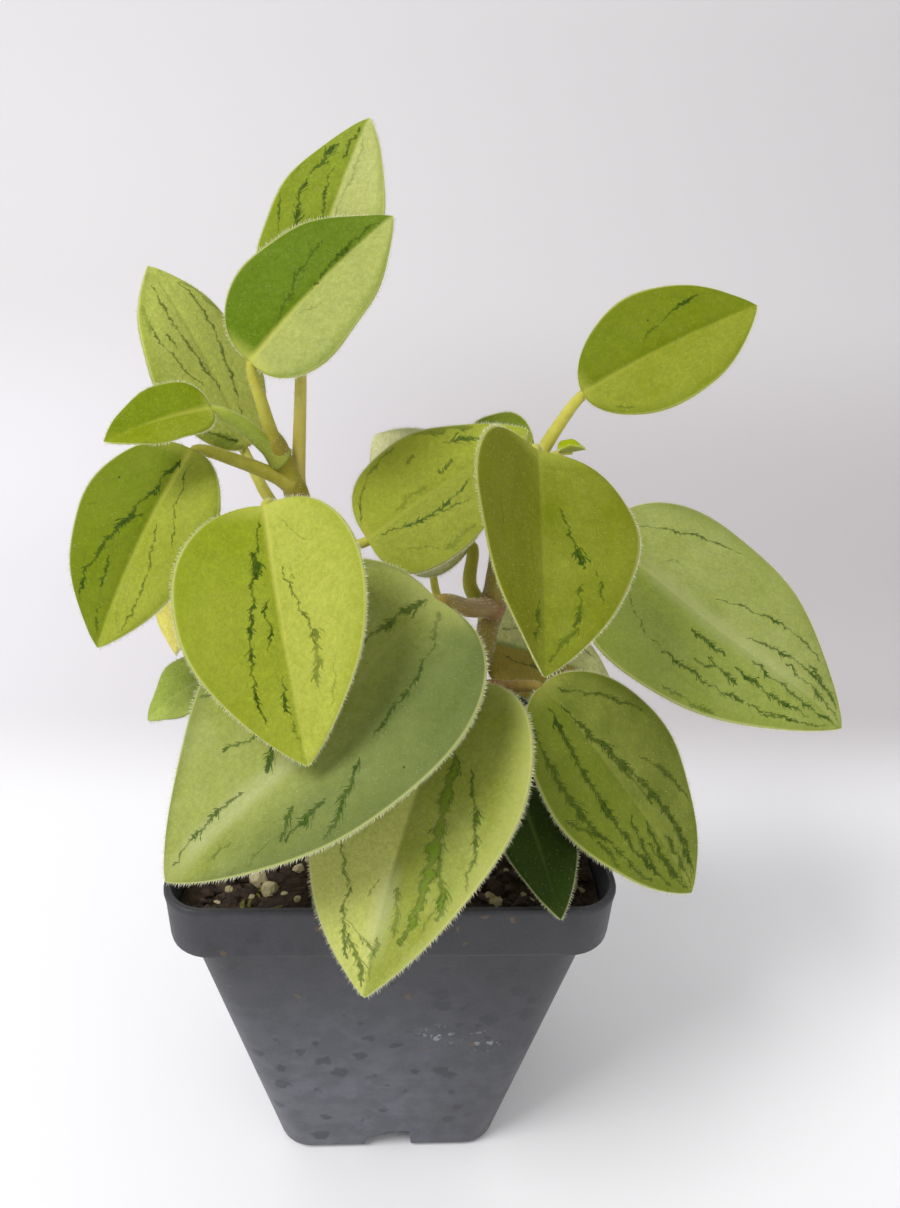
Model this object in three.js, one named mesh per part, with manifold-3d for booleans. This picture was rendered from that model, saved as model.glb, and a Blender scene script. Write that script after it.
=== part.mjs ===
// Potted peperomia: a square nursery pot filled with potting mix, two fuzzy stems rooted in it, and
// the leaves that grow from them. Millimetres, +Z up, +X right and -Y towards the viewer. The origin
// is on the surface that the pot stands on, under the middle of its base.
import * as THREE from 'three';
import { mergeVertices } from 'three/addons/utils/BufferGeometryUtils.js';
import Module from 'manifold-3d';

const wasm = await Module();
wasm.setup();

// Pot: half widths are from the middle to the flat of a side
const potHeight = 90;
const rimHalf = 44;
const rimBand = 12;
const rimTaper = 0.6;
const rimCorner = 9;
const underRimHalf = 40.5;
const baseHalf = 26.2;
const bodyCorner = 8;
const foot = { inset: 1.8, height: 2 };
const edge = 0.5;
const wall = 1.2;
const floorThickness = 1.6;
const notch = { width: 12, height: 7.5, drop: 3, depth: 6, slope: 1, corner: 2.5, below: 2 };
const drainHole = { radius: 3.5, offset: 13, length: 3, sides: 16 };

// Potting mix: its mean level, the roughness of its surface and the bits that stand out of it.
// surface: the rings of its top, as shares of its half width. flake: a bark flake's proportions.
const soilLevel = 83.5;
const soilRough = 0.9;
const surface = [0.93, 0.78, 0.62, 0.45, 0.28, 0.12];
const clearance = 0.3;
const chips = {
  seed: 7, reach: 36, stemRoom: 6, raised: 0.2,
  perlite: { count: 18, least: 1.5, more: 0.9, tilt: 3 },
  bark: { count: 14, least: 1.8, more: 1.2, tilt: 0.6, flake: [2.4, 1.4, 1] },
};

// Blades: thickness at the midrib and at the margin, how finely they are divided, and the rounding
// of the crease along the midrib
const bladeThick = 1.4;
const marginThick = 0.8;
const bladeRows = 9;
const bladeColumns = 6;
const creaseWidth = 0.5;

// Leaf stalks: radius, its share at the stem and at the blade, depth under the blade's face, and
// how far the stalk runs on under the blade
const stalkRadius = 1.25;
const stalkFoot = 1.15;
const stalkTop = 0.8;
const stalkSink = 0.55;
const stalkUnder = 3;
const stalkSides = 6;
const stalkSteps = 7;

// Stems: centre line from the root upwards, radius at the root and at the tip, and the height of
// each node, where the stem swells
const stems = {
  left: {
    line: [
      [-7, 6, 74], [-9, 6, 90], [-14, 4, 115], [-19, 2, 138], [-20, 1, 154], [-23, 0, 163], [-26, -1, 170],
    ],
    radius: [3.1, 1.8],
    nodes: [104, 124, 140, 157, 166],
  },
  right: {
    line: [
      [8, 4, 74], [10, 4, 90], [15, 2, 110], [19, 1, 124], [20, 0, 134], [21, 1, 144], [25, 4, 157],
      [28, 6, 165],
    ],
    radius: [3.4, 1.7],
    nodes: [98, 113, 133, 148, 161],
  },
};
const nodeSwell = 0.5;
const nodeSpan = 3;
const stemSides = 8;
const stemSteps = 26;

// Leaves. grows: the stem and the height where the stalk leaves it. via: points on the stalk.
// base, tip: the ends of the midrib. roll, fold: degrees. arch: rise over length. curl: how far both
// margins bend back. shear: one side of the blade set further along than the other. notch: how far
// the base reaches back beside the stalk. belly, point: how full the base and the tip are.
// green: the entry in the list of colours.
const leaves = {
  leaf_top_back: {
    grows: ['left', 156], via: [[-20, 4, 172]], base: [-20, 11, 189], tip: [-7, 21, 226],
    width: 28, roll: 23, fold: 5, arch: 0.04, green: 0,
  },
  leaf_top_front: {
    grows: ['left', 166], via: [[-26.5, -3, 176]], base: [-28, -4, 183], tip: [-2, 7, 209],
    width: 27, roll: 40, fold: 6, arch: 0.04, green: 0,
  },
  leaf_left_back: {
    grows: ['left', 146], via: [[-27, 6, 154]], base: [-32.5, 14, 162.5], tip: [-52, 23, 197.5],
    width: 29.5, roll: -11, fold: 2, arch: 0.04, curl: 0.12, shear: -0.05, belly: 0.7, green: 0,
  },
  leaf_left_small: {
    grows: ['left', 164], via: [[-31, -4, 172]], base: [-35, -7, 175], tip: [-53, -15, 170],
    width: 14, roll: -37, fold: 12, arch: 0.05, stalk: 1.6, green: 1,
  },
  leaf_left_mid: {
    grows: ['left', 159], via: [[-31, -3, 164]], base: [-39.5, -4.5, 166.5], tip: [-58, -16, 129.5],
    width: 31, roll: -30, fold: 14, arch: 0.05, curl: 0.17, shear: -0.05, belly: 0.58, stalk: 1.4,
    green: 1,
  },
  leaf_front_left: {
    grows: ['left', 149], via: [[-23, -10, 157]], base: [-24, -21, 161], tip: [-14.5, -48.5, 124.5],
    width: 34, roll: 26, fold: 19, arch: 0.03, notch: 0.06, belly: 0.56, green: 0,
  },
  leaf_low_left: {
    grows: ['right', 133], via: [[14, -12, 138]], base: [7, -23, 144.5], tip: [-40, -49, 101],
    width: 53, roll: -17, fold: 3, arch: 0.03, notch: 0.08, curl: -0.06, stalk: 1.9, green: 2,
  },
  leaf_front_low: {
    grows: ['right', 105], via: [[14, -15, 122]], base: [12, -25, 128], tip: [-5, -59, 84],
    width: 42, roll: 10, fold: 5, arch: 0.06, curl: 0.08, shear: -0.2, notch: 0.08, belly: 0.6,
    stalk: 1.6, green: 2,
  },
  leaf_dark_small: {
    grows: ['right', 96], via: [[19, -10, 100]], base: [25.5, -19, 100], tip: [31, -48, 91],
    width: 17, roll: -2, fold: 6, arch: 0.03, green: 3,
  },
  leaf_right_low: {
    grows: ['right', 113], via: [[23, -6, 117]], base: [30, -12, 120.5], tip: [62.5, -30, 81.5],
    width: 38, roll: 20, fold: 3, arch: 0.06, curl: 0.06, notch: 0.06, belly: 0.65, stalk: 1.5, green: 0,
  },
  leaf_right_big: {
    grows: ['right', 134], via: [[32, 6, 142]], base: [43.5, 9, 146], tip: [95.5, -14, 112],
    width: 46, roll: 36, fold: 3, arch: 0.05, curl: 0.16, stalk: 1.5, green: 2,
  },
  leaf_centre_front: {
    grows: ['right', 160], via: [[26, -4, 168]], base: [25, -12, 170], tip: [23.5, -48, 141.5],
    width: 36.5, roll: -31, fold: 19, arch: 0.01, notch: 0.07, green: 1,
  },
  leaf_centre_left: {
    grows: ['left', 140], via: [[-13, -1, 145]], base: [-6.5, -1, 148], tip: [25.5, 2.5, 171],
    width: 29, roll: 47, fold: 2, arch: 0.03, curl: 0.08, belly: 0.45, green: 1,
  },
  leaf_right_top: {
    grows: ['right', 160], via: [[32, 10, 169]], base: [38, 15, 176], tip: [73, 16, 195],
    width: 27, roll: 52, fold: 4, arch: 0.05, belly: 0.69, stalk: 1.4, green: 1,
  },
  leaf_low_small: {
    grows: ['left', 124], via: [[-28, 0, 121]], base: [-37, -2, 118], tip: [-53.5, -5, 107],
    width: 15.5, roll: -27, fold: 10, arch: 0.07, green: 3,
  },
  leaf_yellow: {
    grows: ['left', 140], via: [[-34, 4, 143]], base: [-44, 4, 139], tip: [-48, 2, 119],
    width: 17, roll: -15, fold: 6, arch: 0.06, green: 4,
  },
  leaf_back_pale: {
    grows: ['right', 131], via: [[15.5, 4, 136]], base: [15, 6, 144], tip: [-6.5, 32.5, 161.5],
    width: 32, roll: -77, fold: 3, arch: 0.04, stalk: 1.6, green: 2,
  },
  leaf_back_upper: {
    grows: ['right', 154], via: [[27, 10, 161]], base: [28, 12, 165], tip: [9, 23, 153],
    width: 22, roll: -50, fold: 6, arch: 0.05, green: 1,
  },
  leaf_right_back: {
    grows: ['right', 120], via: [[20, 6, 122]], base: [21, 10, 120], tip: [53, 16, 106],
    width: 29, roll: 35, fold: 8, arch: 0.04, green: 3,
  },
  leaf_new: {
    grows: ['right', 162], via: [], base: [32, 5, 166], tip: [38.5, 5, 166.5],
    width: 6, roll: 0, fold: 25, arch: 0.05, stalk: 0.9, green: 1,
  },
  leaf_back_low: {
    grows: ['right', 120], via: [[9, 16, 129]], base: [8, 25, 140], tip: [8, 47, 144],
    width: 17, roll: 10, fold: 8, arch: 0.05, stalk: 1, green: 3,
  },
};

const greens = ['#9fb83a', '#8aa82a', '#98b45c', '#3d6a1c', '#d9c94a'];
const degree = Math.PI / 180;
const vector = (p) => new THREE.Vector3(...p);

// A closed geometry with shared vertices becomes a solid, and a solid becomes a geometry again
function solidFrom(geometry) {
  const bare = geometry.clone();
  bare.deleteAttribute('normal');
  bare.deleteAttribute('uv');
  const merged = mergeVertices(bare, 1e-4);
  const mesh = new wasm.Mesh({
    numProp: 3,
    vertProperties: Float32Array.from(merged.attributes.position.array),
    triVerts: Uint32Array.from(merged.index.array),
  });
  return new wasm.Manifold(mesh);
}

function geometryFrom(solid) {
  const { vertProperties, triVerts } = solid.getMesh();
  const geometry = new THREE.BufferGeometry();
  geometry.setAttribute('position', new THREE.BufferAttribute(vertProperties, 3));
  geometry.setIndex(new THREE.BufferAttribute(triVerts, 1));
  geometry.computeVertexNormals();
  return geometry;
}

function geometryOf(points, triangles) {
  const geometry = new THREE.BufferGeometry().setFromPoints(points);
  geometry.setIndex(triangles);
  return geometry;
}

// Repeatable random numbers from 0 to 1
function randomSource(seed) {
  let state = seed;
  return () => {
    state = (state * 16807) % 2147483647;
    return state / 2147483647;
  };
}

// One ring of a rounded square: half its width, its corner radius and its height
function roundedSquare(half, corner, z, perCorner = 6) {
  const ring = [];
  for (let quarter = 0; quarter < 4; quarter += 1) {
    for (let step = 0; step < perCorner; step += 1) {
      const angle = (quarter + step / (perCorner - 1)) * Math.PI / 2;
      const centre = (quarter + 0.5) * Math.PI / 2;
      const toCentre = (half - corner) * Math.SQRT2;
      const x = toCentre * Math.cos(centre) + corner * Math.cos(angle);
      const y = toCentre * Math.sin(centre) + corner * Math.sin(angle);
      ring.push(new THREE.Vector3(x, y, z));
    }
  }
  return ring;
}

// A skin over rings with equal numbers of points, closed at each end by a fan to the ring's middle
function loft(rings, firstMiddle, lastMiddle) {
  const count = rings[0].length;
  const points = [...rings.flat(), firstMiddle, lastMiddle];
  const triangles = [];
  for (let r = 0; r + 1 < rings.length; r += 1) {
    for (let i = 0; i < count; i += 1) {
      const j = (i + 1) % count;
      const [a, b, c, d] = [r * count + i, r * count + j, (r + 1) * count + j, (r + 1) * count + i];
      triangles.push(a, b, c, a, c, d);
    }
  }
  const last = (rings.length - 1) * count;
  for (let i = 0; i < count; i += 1) {
    const j = (i + 1) % count;
    triangles.push(j, i, points.length - 2);
    triangles.push(last + i, last + j, points.length - 1);
  }
  return geometryOf(points, triangles);
}

// Half width of the pot's outside below its rim band
function bodyHalf(z) {
  return baseHalf + (underRimHalf - baseHalf) * z / (potHeight - rimBand);
}

function makePot() {
  const underRim = potHeight - rimBand;
  const outside = [
    roundedSquare(baseHalf - foot.inset, bodyCorner - foot.inset, 0),
    roundedSquare(baseHalf - foot.inset / 3, bodyCorner - foot.inset / 3, edge),
    roundedSquare(bodyHalf(foot.height), bodyCorner, foot.height),
    roundedSquare(underRimHalf, bodyCorner, underRim),
    roundedSquare(rimHalf - rimTaper, rimCorner, underRim + edge),
    roundedSquare(rimHalf, rimCorner, potHeight - edge),
    roundedSquare(rimHalf - edge / 2, rimCorner, potHeight),
  ];
  const inside = [
    roundedSquare(rimHalf - wall - edge / 2, rimCorner - wall, potHeight),
    roundedSquare(rimHalf - wall - rimTaper, rimCorner - wall, underRim + wall + edge),
    roundedSquare(underRimHalf - wall, bodyCorner - wall, underRim + wall),
    roundedSquare(bodyHalf(floorThickness) - wall, bodyCorner - wall, floorThickness),
  ];
  const floorMiddle = new THREE.Vector3(0, 0, floorThickness);
  const rimMiddle = new THREE.Vector3(0, 0, potHeight);
  const filled = solidFrom(loft(outside, new THREE.Vector3(), rimMiddle));
  let pot = solidFrom(loft([...outside, ...inside], new THREE.Vector3(), floorMiddle));
  for (let side = 0; side < 4; side += 1) {
    pot = pot.add(solidFrom(notchTool(side, wall)).intersect(filled));
  }
  for (let side = 0; side < 4; side += 1) {
    pot = pot.subtract(solidFrom(notchTool(side)));
    pot = pot.subtract(solidFrom(drainHoleTool(side)));
  }
  return geometryFrom(pot);
}

// The recess in the middle of a side's bottom edge, which drains the pot and leaves it on four feet.
// Its top drops towards one end. grown: how much wider, higher and deeper, for the wall round the
// recess and for the mix.
function notchTool(side, grown = 0) {
  const halfWidth = notch.width / 2 + grown;
  const height = notch.height + grown;
  const arch = new THREE.Shape();
  arch.moveTo(-halfWidth, -notch.below);
  arch.lineTo(halfWidth, -notch.below);
  arch.lineTo(halfWidth - notch.slope, height - notch.slope);
  arch.lineTo(halfWidth - notch.corner, height);
  arch.lineTo(notch.corner - halfWidth, height - notch.drop);
  arch.lineTo(notch.slope - halfWidth, height - notch.drop - notch.slope);
  const tool = new THREE.ExtrudeGeometry(arch, { depth: notch.depth * 2, bevelEnabled: false });
  tool.rotateX(Math.PI / 2);
  tool.translate(0, notch.depth + grown - baseHalf, 0);
  tool.rotateZ(side * Math.PI / 2);
  return tool;
}

// A round hole through the pot's floor, between its middle and a corner
function drainHoleTool(corner) {
  const { radius, offset, length, sides } = drainHole;
  const tool = new THREE.CylinderGeometry(radius, radius, length, sides);
  tool.rotateX(Math.PI / 2);
  tool.translate(offset, offset, floorThickness / 2);
  tool.rotateZ(corner * Math.PI / 2);
  return tool;
}

// A round body along a curve, with a radius that changes on the way
function roundBody(points, radiusAt, sides, steps) {
  const curve = new THREE.CatmullRomCurve3(points, false, 'centripetal');
  const section = new THREE.Shape();
  for (let i = 0; i < sides; i += 1) {
    const angle = i / sides * Math.PI * 2;
    section[i ? 'lineTo' : 'moveTo'](Math.cos(angle), Math.sin(angle));
  }
  const geometry = new THREE.ExtrudeGeometry(section, { steps, extrudePath: curve, bevelEnabled: false });
  const centres = curve.getSpacedPoints(steps);
  const position = geometry.attributes.position;
  const point = new THREE.Vector3();
  for (let i = 0; i < position.count; i += 1) {
    point.fromBufferAttribute(position, i);
    const distances = centres.map((centre) => centre.distanceTo(point));
    const nearest = distances.indexOf(Math.min(...distances));
    const radius = radiusAt(nearest / steps, centres[nearest]);
    point.sub(centres[nearest]).multiplyScalar(radius).add(centres[nearest]);
    position.setXYZ(i, point.x, point.y, point.z);
  }
  return geometry;
}

function makeStem(stem, grown = 0) {
  const [root, top] = stem.radius;
  const radiusAt = (t, centre) => {
    const swell = stem.nodes.map((z) => Math.exp(-(((centre.z - z) / nodeSpan) ** 2)));
    return root + (top - root) * t + nodeSwell * Math.max(...swell) + grown;
  };
  return roundBody(stem.line.map(vector), radiusAt, stemSides, stemSteps);
}

// The middle of a stem at a height
function stemCentre(stem, z) {
  const samples = new THREE.CatmullRomCurve3(stem.line.map(vector), false, 'centripetal').getPoints(200);
  const misses = samples.map((point) => Math.abs(point.z - z));
  return samples[misses.indexOf(Math.min(...misses))];
}

// Directions of a leaf: along its midrib, across it, and out of its upper face
function leafAxes(leaf) {
  const along = vector(leaf.tip).sub(vector(leaf.base)).normalize();
  const level = new THREE.Vector3(-along.y, along.x, 0).normalize();
  const above = along.clone().cross(level);
  const turn = leaf.roll * degree;
  const across = level.clone().multiplyScalar(Math.cos(turn)).addScaledVector(above, Math.sin(turn));
  const face = above.clone().multiplyScalar(Math.cos(turn)).addScaledVector(level, -Math.sin(turn));
  return { along, across, face };
}

// Half the blade's width at u (0 at the base, 1 at the tip), as a share of the widest
function outlineAt(u, belly, point) {
  const widest = belly / (belly + point);
  return u ** belly * (1 - u) ** point / (widest ** belly * (1 - widest) ** point);
}

// How far the blade's lobes reach back beside the stalk at u, for a notch of 1
function lobeAt(u) {
  return 3.2 * u ** 0.6 * (1 - u) ** 4;
}

// A point of the blade's middle surface, at u along it and s across it, from -1 to 1
function bladePoint(leaf, axes, u, s) {
  const { width, fold, arch, curl = 0, shear = 0, notch: sinus = 0.05, belly = 0.5, point = 0.9 } = leaf;
  const length = vector(leaf.base).distanceTo(vector(leaf.tip));
  const half = width / 2;
  const x = half * outlineAt(u, belly, point) * s;
  const y = length * (u - sinus * lobeAt(u) * Math.abs(s)) + shear * x;
  const crease = Math.tan(fold * degree) * (Math.hypot(x, creaseWidth) - creaseWidth);
  const bow = 4 * arch * y * (1 - y / length);
  const z = bow + crease - curl * x * x / half;
  return vector(leaf.base).addScaledVector(axes.along, y).addScaledVector(axes.across, x)
    .addScaledVector(axes.face, z);
}

// A blade: an upper and a lower grid, split alike, joined by a strip round the margin
function blade(leaf) {
  const axes = leafAxes(leaf);
  const points = [];
  const index = { upper: [], lower: [] };
  for (const [name, sign] of [['upper', 1], ['lower', -1]]) {
    for (let i = 0; i <= bladeRows; i += 1) {
      const u = (1 - Math.cos(Math.PI * i / bladeRows)) / 2;
      const atEnd = i === 0 || i === bladeRows;
      const row = [];
      for (let j = 0; j <= bladeColumns; j += 1) {
        const s = 2 * j / bladeColumns - 1;
        if (!atEnd || j === 0) {
          const thick = marginThick + (bladeThick - marginThick) * (1 - Math.abs(s)) * (atEnd ? 0 : 1);
          const middle = bladePoint(leaf, axes, u, atEnd ? 0 : s);
          points.push(middle.addScaledVector(axes.face, sign * thick / 2));
        }
        row.push(points.length - 1);
      }
      index[name].push(row);
    }
  }
  const triangles = [];
  const addTriangle = (a, b, c) => {
    if (a !== b && b !== c && a !== c) triangles.push(a, b, c);
  };
  const { upper, lower } = index;
  for (let i = 0; i < bladeRows; i += 1) {
    for (let j = 0; j < bladeColumns; j += 1) {
      const leansLeft = j < bladeColumns / 2;
      for (const [grid, flip] of [[upper, false], [lower, true]]) {
        const [a, b, c, d] = [grid[i][j], grid[i][j + 1], grid[i + 1][j + 1], grid[i + 1][j]];
        const pair = leansLeft ? [[a, b, c], [a, c, d]] : [[a, b, d], [b, c, d]];
        for (const [p, q, r] of pair) {
          if (flip) addTriangle(p, q, r);
          else addTriangle(p, r, q);
        }
      }
    }
    for (const [j, flip] of [[0, true], [bladeColumns, false]]) {
      const [a, b, c, d] = [upper[i][j], upper[i + 1][j], lower[i + 1][j], lower[i][j]];
      for (const [p, q, r] of [[a, b, c], [a, c, d]]) {
        if (flip) addTriangle(p, r, q);
        else addTriangle(p, q, r);
      }
    }
  }
  return geometryOf(points, triangles);
}

// A leaf: its blade with its stalk, cut off just short of the stem that carries it
function makeLeaf(leaf, cutters) {
  const { along, face } = leafAxes(leaf);
  const [stemName, height] = leaf.grows;
  const radius = leaf.stalk ?? stalkRadius;
  const base = vector(leaf.base).addScaledVector(face, -stalkSink);
  const end = base.clone().addScaledVector(along, stalkUnder);
  const route = [stemCentre(stems[stemName], height), ...leaf.via.map(vector), base, end];
  const radiusAt = (t) => radius * (stalkFoot + (stalkTop - stalkFoot) * t);
  const stalk = roundBody(route, radiusAt, stalkSides, stalkSteps);
  let solid = solidFrom(blade(leaf)).add(solidFrom(stalk));
  for (const cutter of cutters) solid = solid.subtract(cutter);
  return solid;
}

// Potting mix: a block that fits the pot, with a rough surface, bits of perlite and bark in it, a
// plain hole for each stem and room for the pot's recesses
function makeSoil(cutters) {
  const random = randomSource(chips.seed);
  const shelf = potHeight - rimBand + wall;
  const bottom = floorThickness + clearance;
  const gap = wall + clearance;
  const topHalf = rimHalf - rimTaper - gap;
  const sides = [
    roundedSquare(bodyHalf(bottom) - gap, bodyCorner - gap, bottom),
    roundedSquare(underRimHalf - gap, bodyCorner - gap, shelf + clearance),
    roundedSquare(topHalf, rimCorner - gap, shelf + edge + 2 * clearance),
    roundedSquare(topHalf, rimCorner - gap, soilLevel - soilRough),
  ];
  const top = surface.map((share) => roundedSquare(topHalf * share, (rimCorner - gap) * share, soilLevel));
  for (const point of top.flat()) point.z += soilRough * (2 * random() - 1);
  const bottomMiddle = new THREE.Vector3(0, 0, bottom);
  const topMiddle = new THREE.Vector3(0, 0, soilLevel);
  let soil = solidFrom(loft([...sides, ...top], bottomMiddle, topMiddle));
  for (let i = 0; i < chips.perlite.count; i += 1) soil = soil.add(makeChip(random, chips.perlite));
  for (let i = 0; i < chips.bark.count; i += 1) soil = soil.add(makeChip(random, chips.bark));
  for (const cutter of cutters) soil = soil.subtract(cutter);
  for (let side = 0; side < 4; side += 1) soil = soil.subtract(solidFrom(notchTool(side, gap)));
  return geometryFrom(soil);
}

// One bit in the mix: a rounded crumb of perlite or a flat flake of bark, sunk about half way
function makeChip(random, { least, more, tilt, flake }) {
  const spot = new THREE.Vector2();
  const roots = Object.values(stems).map((stem) => stemCentre(stem, soilLevel));
  do {
    spot.set(random() * 2 - 1, random() * 2 - 1).multiplyScalar(chips.reach);
  } while (roots.some((root) => Math.hypot(root.x - spot.x, root.y - spot.y) < chips.stemRoom));
  const size = least + more * random();
  const chip = flake
    ? new THREE.BoxGeometry(...flake.map((share) => share * size))
    : new THREE.IcosahedronGeometry(size, 0);
  chip.rotateX(random() * tilt);
  chip.rotateZ(random() * Math.PI * 2);
  chip.translate(spot.x, spot.y, soilLevel + chips.raised);
  return solidFrom(chip);
}

function addMesh(name, geometry, color, roughness) {
  const material = new THREE.MeshStandardMaterial({ color, roughness, metalness: 0 });
  const mesh = new THREE.Mesh(geometry, material);
  mesh.name = name;
  group.add(mesh);
}

const group = new THREE.Group();
const stemCutters = Object.values(stems).map((stem) => solidFrom(makeStem(stem, clearance)));
addMesh('pot', makePot(), '#55585d', 0.55);
addMesh('soil', makeSoil(stemCutters), '#2a2019', 0.95);
for (const [name, stem] of Object.entries(stems)) {
  addMesh(`stem_${name}`, geometryFrom(solidFrom(makeStem(stem))), '#8c7a35', 0.6);
}
for (const [name, leaf] of Object.entries(leaves)) {
  addMesh(name, geometryFrom(makeLeaf(leaf, stemCutters)), greens[leaf.green], 0.5);
}

export default group;
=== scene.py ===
import math
from functools import partial
import bmesh
import bpy
import numpy as np
from mathutils import Matrix, Vector, noise


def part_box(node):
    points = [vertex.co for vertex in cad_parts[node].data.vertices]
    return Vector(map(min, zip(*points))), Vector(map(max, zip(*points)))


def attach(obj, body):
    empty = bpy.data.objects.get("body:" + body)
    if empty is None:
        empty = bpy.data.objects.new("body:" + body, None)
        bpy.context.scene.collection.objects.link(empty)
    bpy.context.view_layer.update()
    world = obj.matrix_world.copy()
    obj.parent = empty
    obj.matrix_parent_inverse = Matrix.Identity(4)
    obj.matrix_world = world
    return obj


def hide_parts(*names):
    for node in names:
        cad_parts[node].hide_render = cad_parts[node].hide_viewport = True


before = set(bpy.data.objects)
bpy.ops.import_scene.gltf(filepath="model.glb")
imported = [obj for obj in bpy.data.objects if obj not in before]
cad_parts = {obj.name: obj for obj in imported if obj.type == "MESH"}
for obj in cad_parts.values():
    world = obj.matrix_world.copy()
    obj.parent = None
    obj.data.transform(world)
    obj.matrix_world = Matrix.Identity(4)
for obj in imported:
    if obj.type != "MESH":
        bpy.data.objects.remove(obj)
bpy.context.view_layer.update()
mm = 0.001  # everything below is in millimetres until a mesh is made
print("frame loaded:", len(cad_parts), "nodes")


# The camera stands where the photograph was taken from
cameraView = {
    "place": (-1.3, -175.1, 210.5),
    "yaw": 4.03, "pitch": 23.68, "roll": 2.65,  # degrees
    "focalPixels": 903.1, "longSidePixels": 1208, "sensor": 36.0, "clipStart": 0.01,
}


def makeCamera():
    yaw, pitch, roll = (math.radians(cameraView[key]) for key in ("yaw", "pitch", "roll"))
    forward = Vector((math.sin(yaw) * math.cos(pitch), math.cos(yaw) * math.cos(pitch), -math.sin(pitch)))
    level = Vector((math.cos(yaw), -math.sin(yaw), 0))
    above = level.cross(forward)
    right = level * math.cos(roll) + above * math.sin(roll)
    up = above * math.cos(roll) - level * math.sin(roll)
    data = bpy.data.cameras.new("photoCamera")
    data.sensor_width = cameraView["sensor"]
    data.lens = cameraView["sensor"] * cameraView["focalPixels"] / cameraView["longSidePixels"]
    data.clip_start = cameraView["clipStart"]
    camera = bpy.data.objects.new("photoCamera", data)
    turn = Matrix((right, up, -forward)).transposed().to_4x4()
    camera.matrix_world = Matrix.Translation(Vector(cameraView["place"]) * mm) @ turn
    bpy.context.scene.collection.objects.link(camera)
    bpy.context.scene.camera = camera


makeCamera()


# Helpers for node trees. Each finds its tree from a socket, and a colour may be given as its code.
def tint(code):
    channels = [int(code[i:i + 2], 16) / 255 for i in (1, 3, 5)]
    return tuple(c / 12.92 if c <= 0.04045 else ((c + 0.055) / 1.055) ** 2.4 for c in channels) + (1,)


def isSocket(value):
    return isinstance(value, bpy.types.NodeSocket)


def setSockets(node, sockets):
    for key, value in sockets.items():
        if isSocket(value):
            node.id_data.links.new(value, node.inputs[key])
        else:
            node.inputs[key].default_value = tint(value) if isinstance(value, str) else value


def addNode(near, kind, sockets=None, **settings):
    node = near.id_data.nodes.new("ShaderNode" + kind)
    for key, value in settings.items():
        setattr(node, key, value)
    setSockets(node, sockets or {})
    return node


def maths(operation, *values, clamp=False):
    near = next(value for value in values if isSocket(value))
    return addNode(near, "Math", dict(enumerate(values)), operation=operation, use_clamp=clamp).outputs[0]


plus, minus, times = (partial(maths, name) for name in ("ADD", "SUBTRACT", "MULTIPLY"))
timesPlus = partial(maths, "MULTIPLY_ADD")


def vectorMaths(operation, first, second):
    other = "Scale" if operation == "SCALE" else 1
    return addNode(first, "VectorMath", {0: first, other: second}, operation=operation).outputs


def smoothStep(value, low, high, start=0.0, end=1.0):
    sockets = {"Value": value, "From Min": low, "From Max": high, "To Min": start, "To Max": end}
    return addNode(value, "MapRange", sockets, interpolation_type="SMOOTHSTEP").outputs[0]


def mixColour(factor, first, second, blend="MIX"):
    sockets = {0: factor, 6: first, 7: second}
    return addNode(factor, "Mix", sockets, data_type="RGBA", blend_type=blend).outputs[2]


def wave(along, detail, roughness):
    sockets = {"W": along, "Scale": 1.0, "Detail": detail, "Roughness": roughness}
    return addNode(along, "TexNoise", sockets, noise_dimensions="1D").outputs[0]


def split(vector):
    return addNode(vector, "SeparateXYZ", {0: vector}).outputs


def attribute(near, name):
    return addNode(near, "Attribute", attribute_name=name).outputs


def bump(height, strength, depth):
    sockets = {"Height": height, "Strength": strength, "Distance": depth * mm}
    return addNode(height, "Bump", sockets).outputs[0]


# A group of nodes that takes a place and some numbers
def newGroup(name, outputs, **numbers):
    tree = bpy.data.node_groups.new(name, "ShaderNodeTree")
    tree.interface.new_socket(name="Place", in_out="INPUT", socket_type="NodeSocketVector")
    for label, value in numbers.items():
        socket = tree.interface.new_socket(name=label, in_out="INPUT", socket_type="NodeSocketFloat")
        socket.default_value = value
    for label in outputs:
        tree.interface.new_socket(name=label, in_out="OUTPUT", socket_type="NodeSocketFloat")
    return tree, tree.nodes.new("NodeGroupInput").outputs, tree.nodes.new("NodeGroupOutput")


def useGroup(group, place, **numbers):
    return addNode(place, "Group", {"Place": place, **numbers}, node_tree=group).outputs


# Soft patches of lighter and darker tone, and a fine grain for the bump
def makeMottle():
    tree, given, result = newGroup("mottle", ["Mask"], Scale=0.1, Contrast=2.0, Seed=0.0)
    shifted = vectorMaths("ADD", given["Place"], times(given["Seed"], 137.0))[0]
    sockets = {"Vector": shifted, "Scale": given["Scale"], "Detail": 3.0, "Roughness": 0.6}
    cloud = addNode(shifted, "TexNoise", sockets).outputs[0]
    spread = times(minus(cloud, 0.5), given["Contrast"])
    setSockets(result, {"Mask": plus(spread, 0.5, clamp=True)})
    return tree


# Scattered round specks, a share of the cells of a Voronoi pattern
def makeSpecks():
    tree, given, result = newGroup("specks", ["Mask"], Scale=0.3, Size=0.2, Share=0.1)
    cells = addNode(given[0], "TexVoronoi", {"Vector": given["Place"], "Scale": given["Scale"]}).outputs
    pick = addNode(given[0], "SeparateColor", {"Color": cells["Color"]}).outputs
    chosen = maths("LESS_THAN", pick[0], given["Share"])
    radius = times(given["Size"], plus(pick[1], 0.3))
    spot = smoothStep(cells["Distance"], times(radius, 0.6), radius, 1.0, 0.0)
    setSockets(result, {"Mask": times(spot, chosen)})
    return tree


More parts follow.
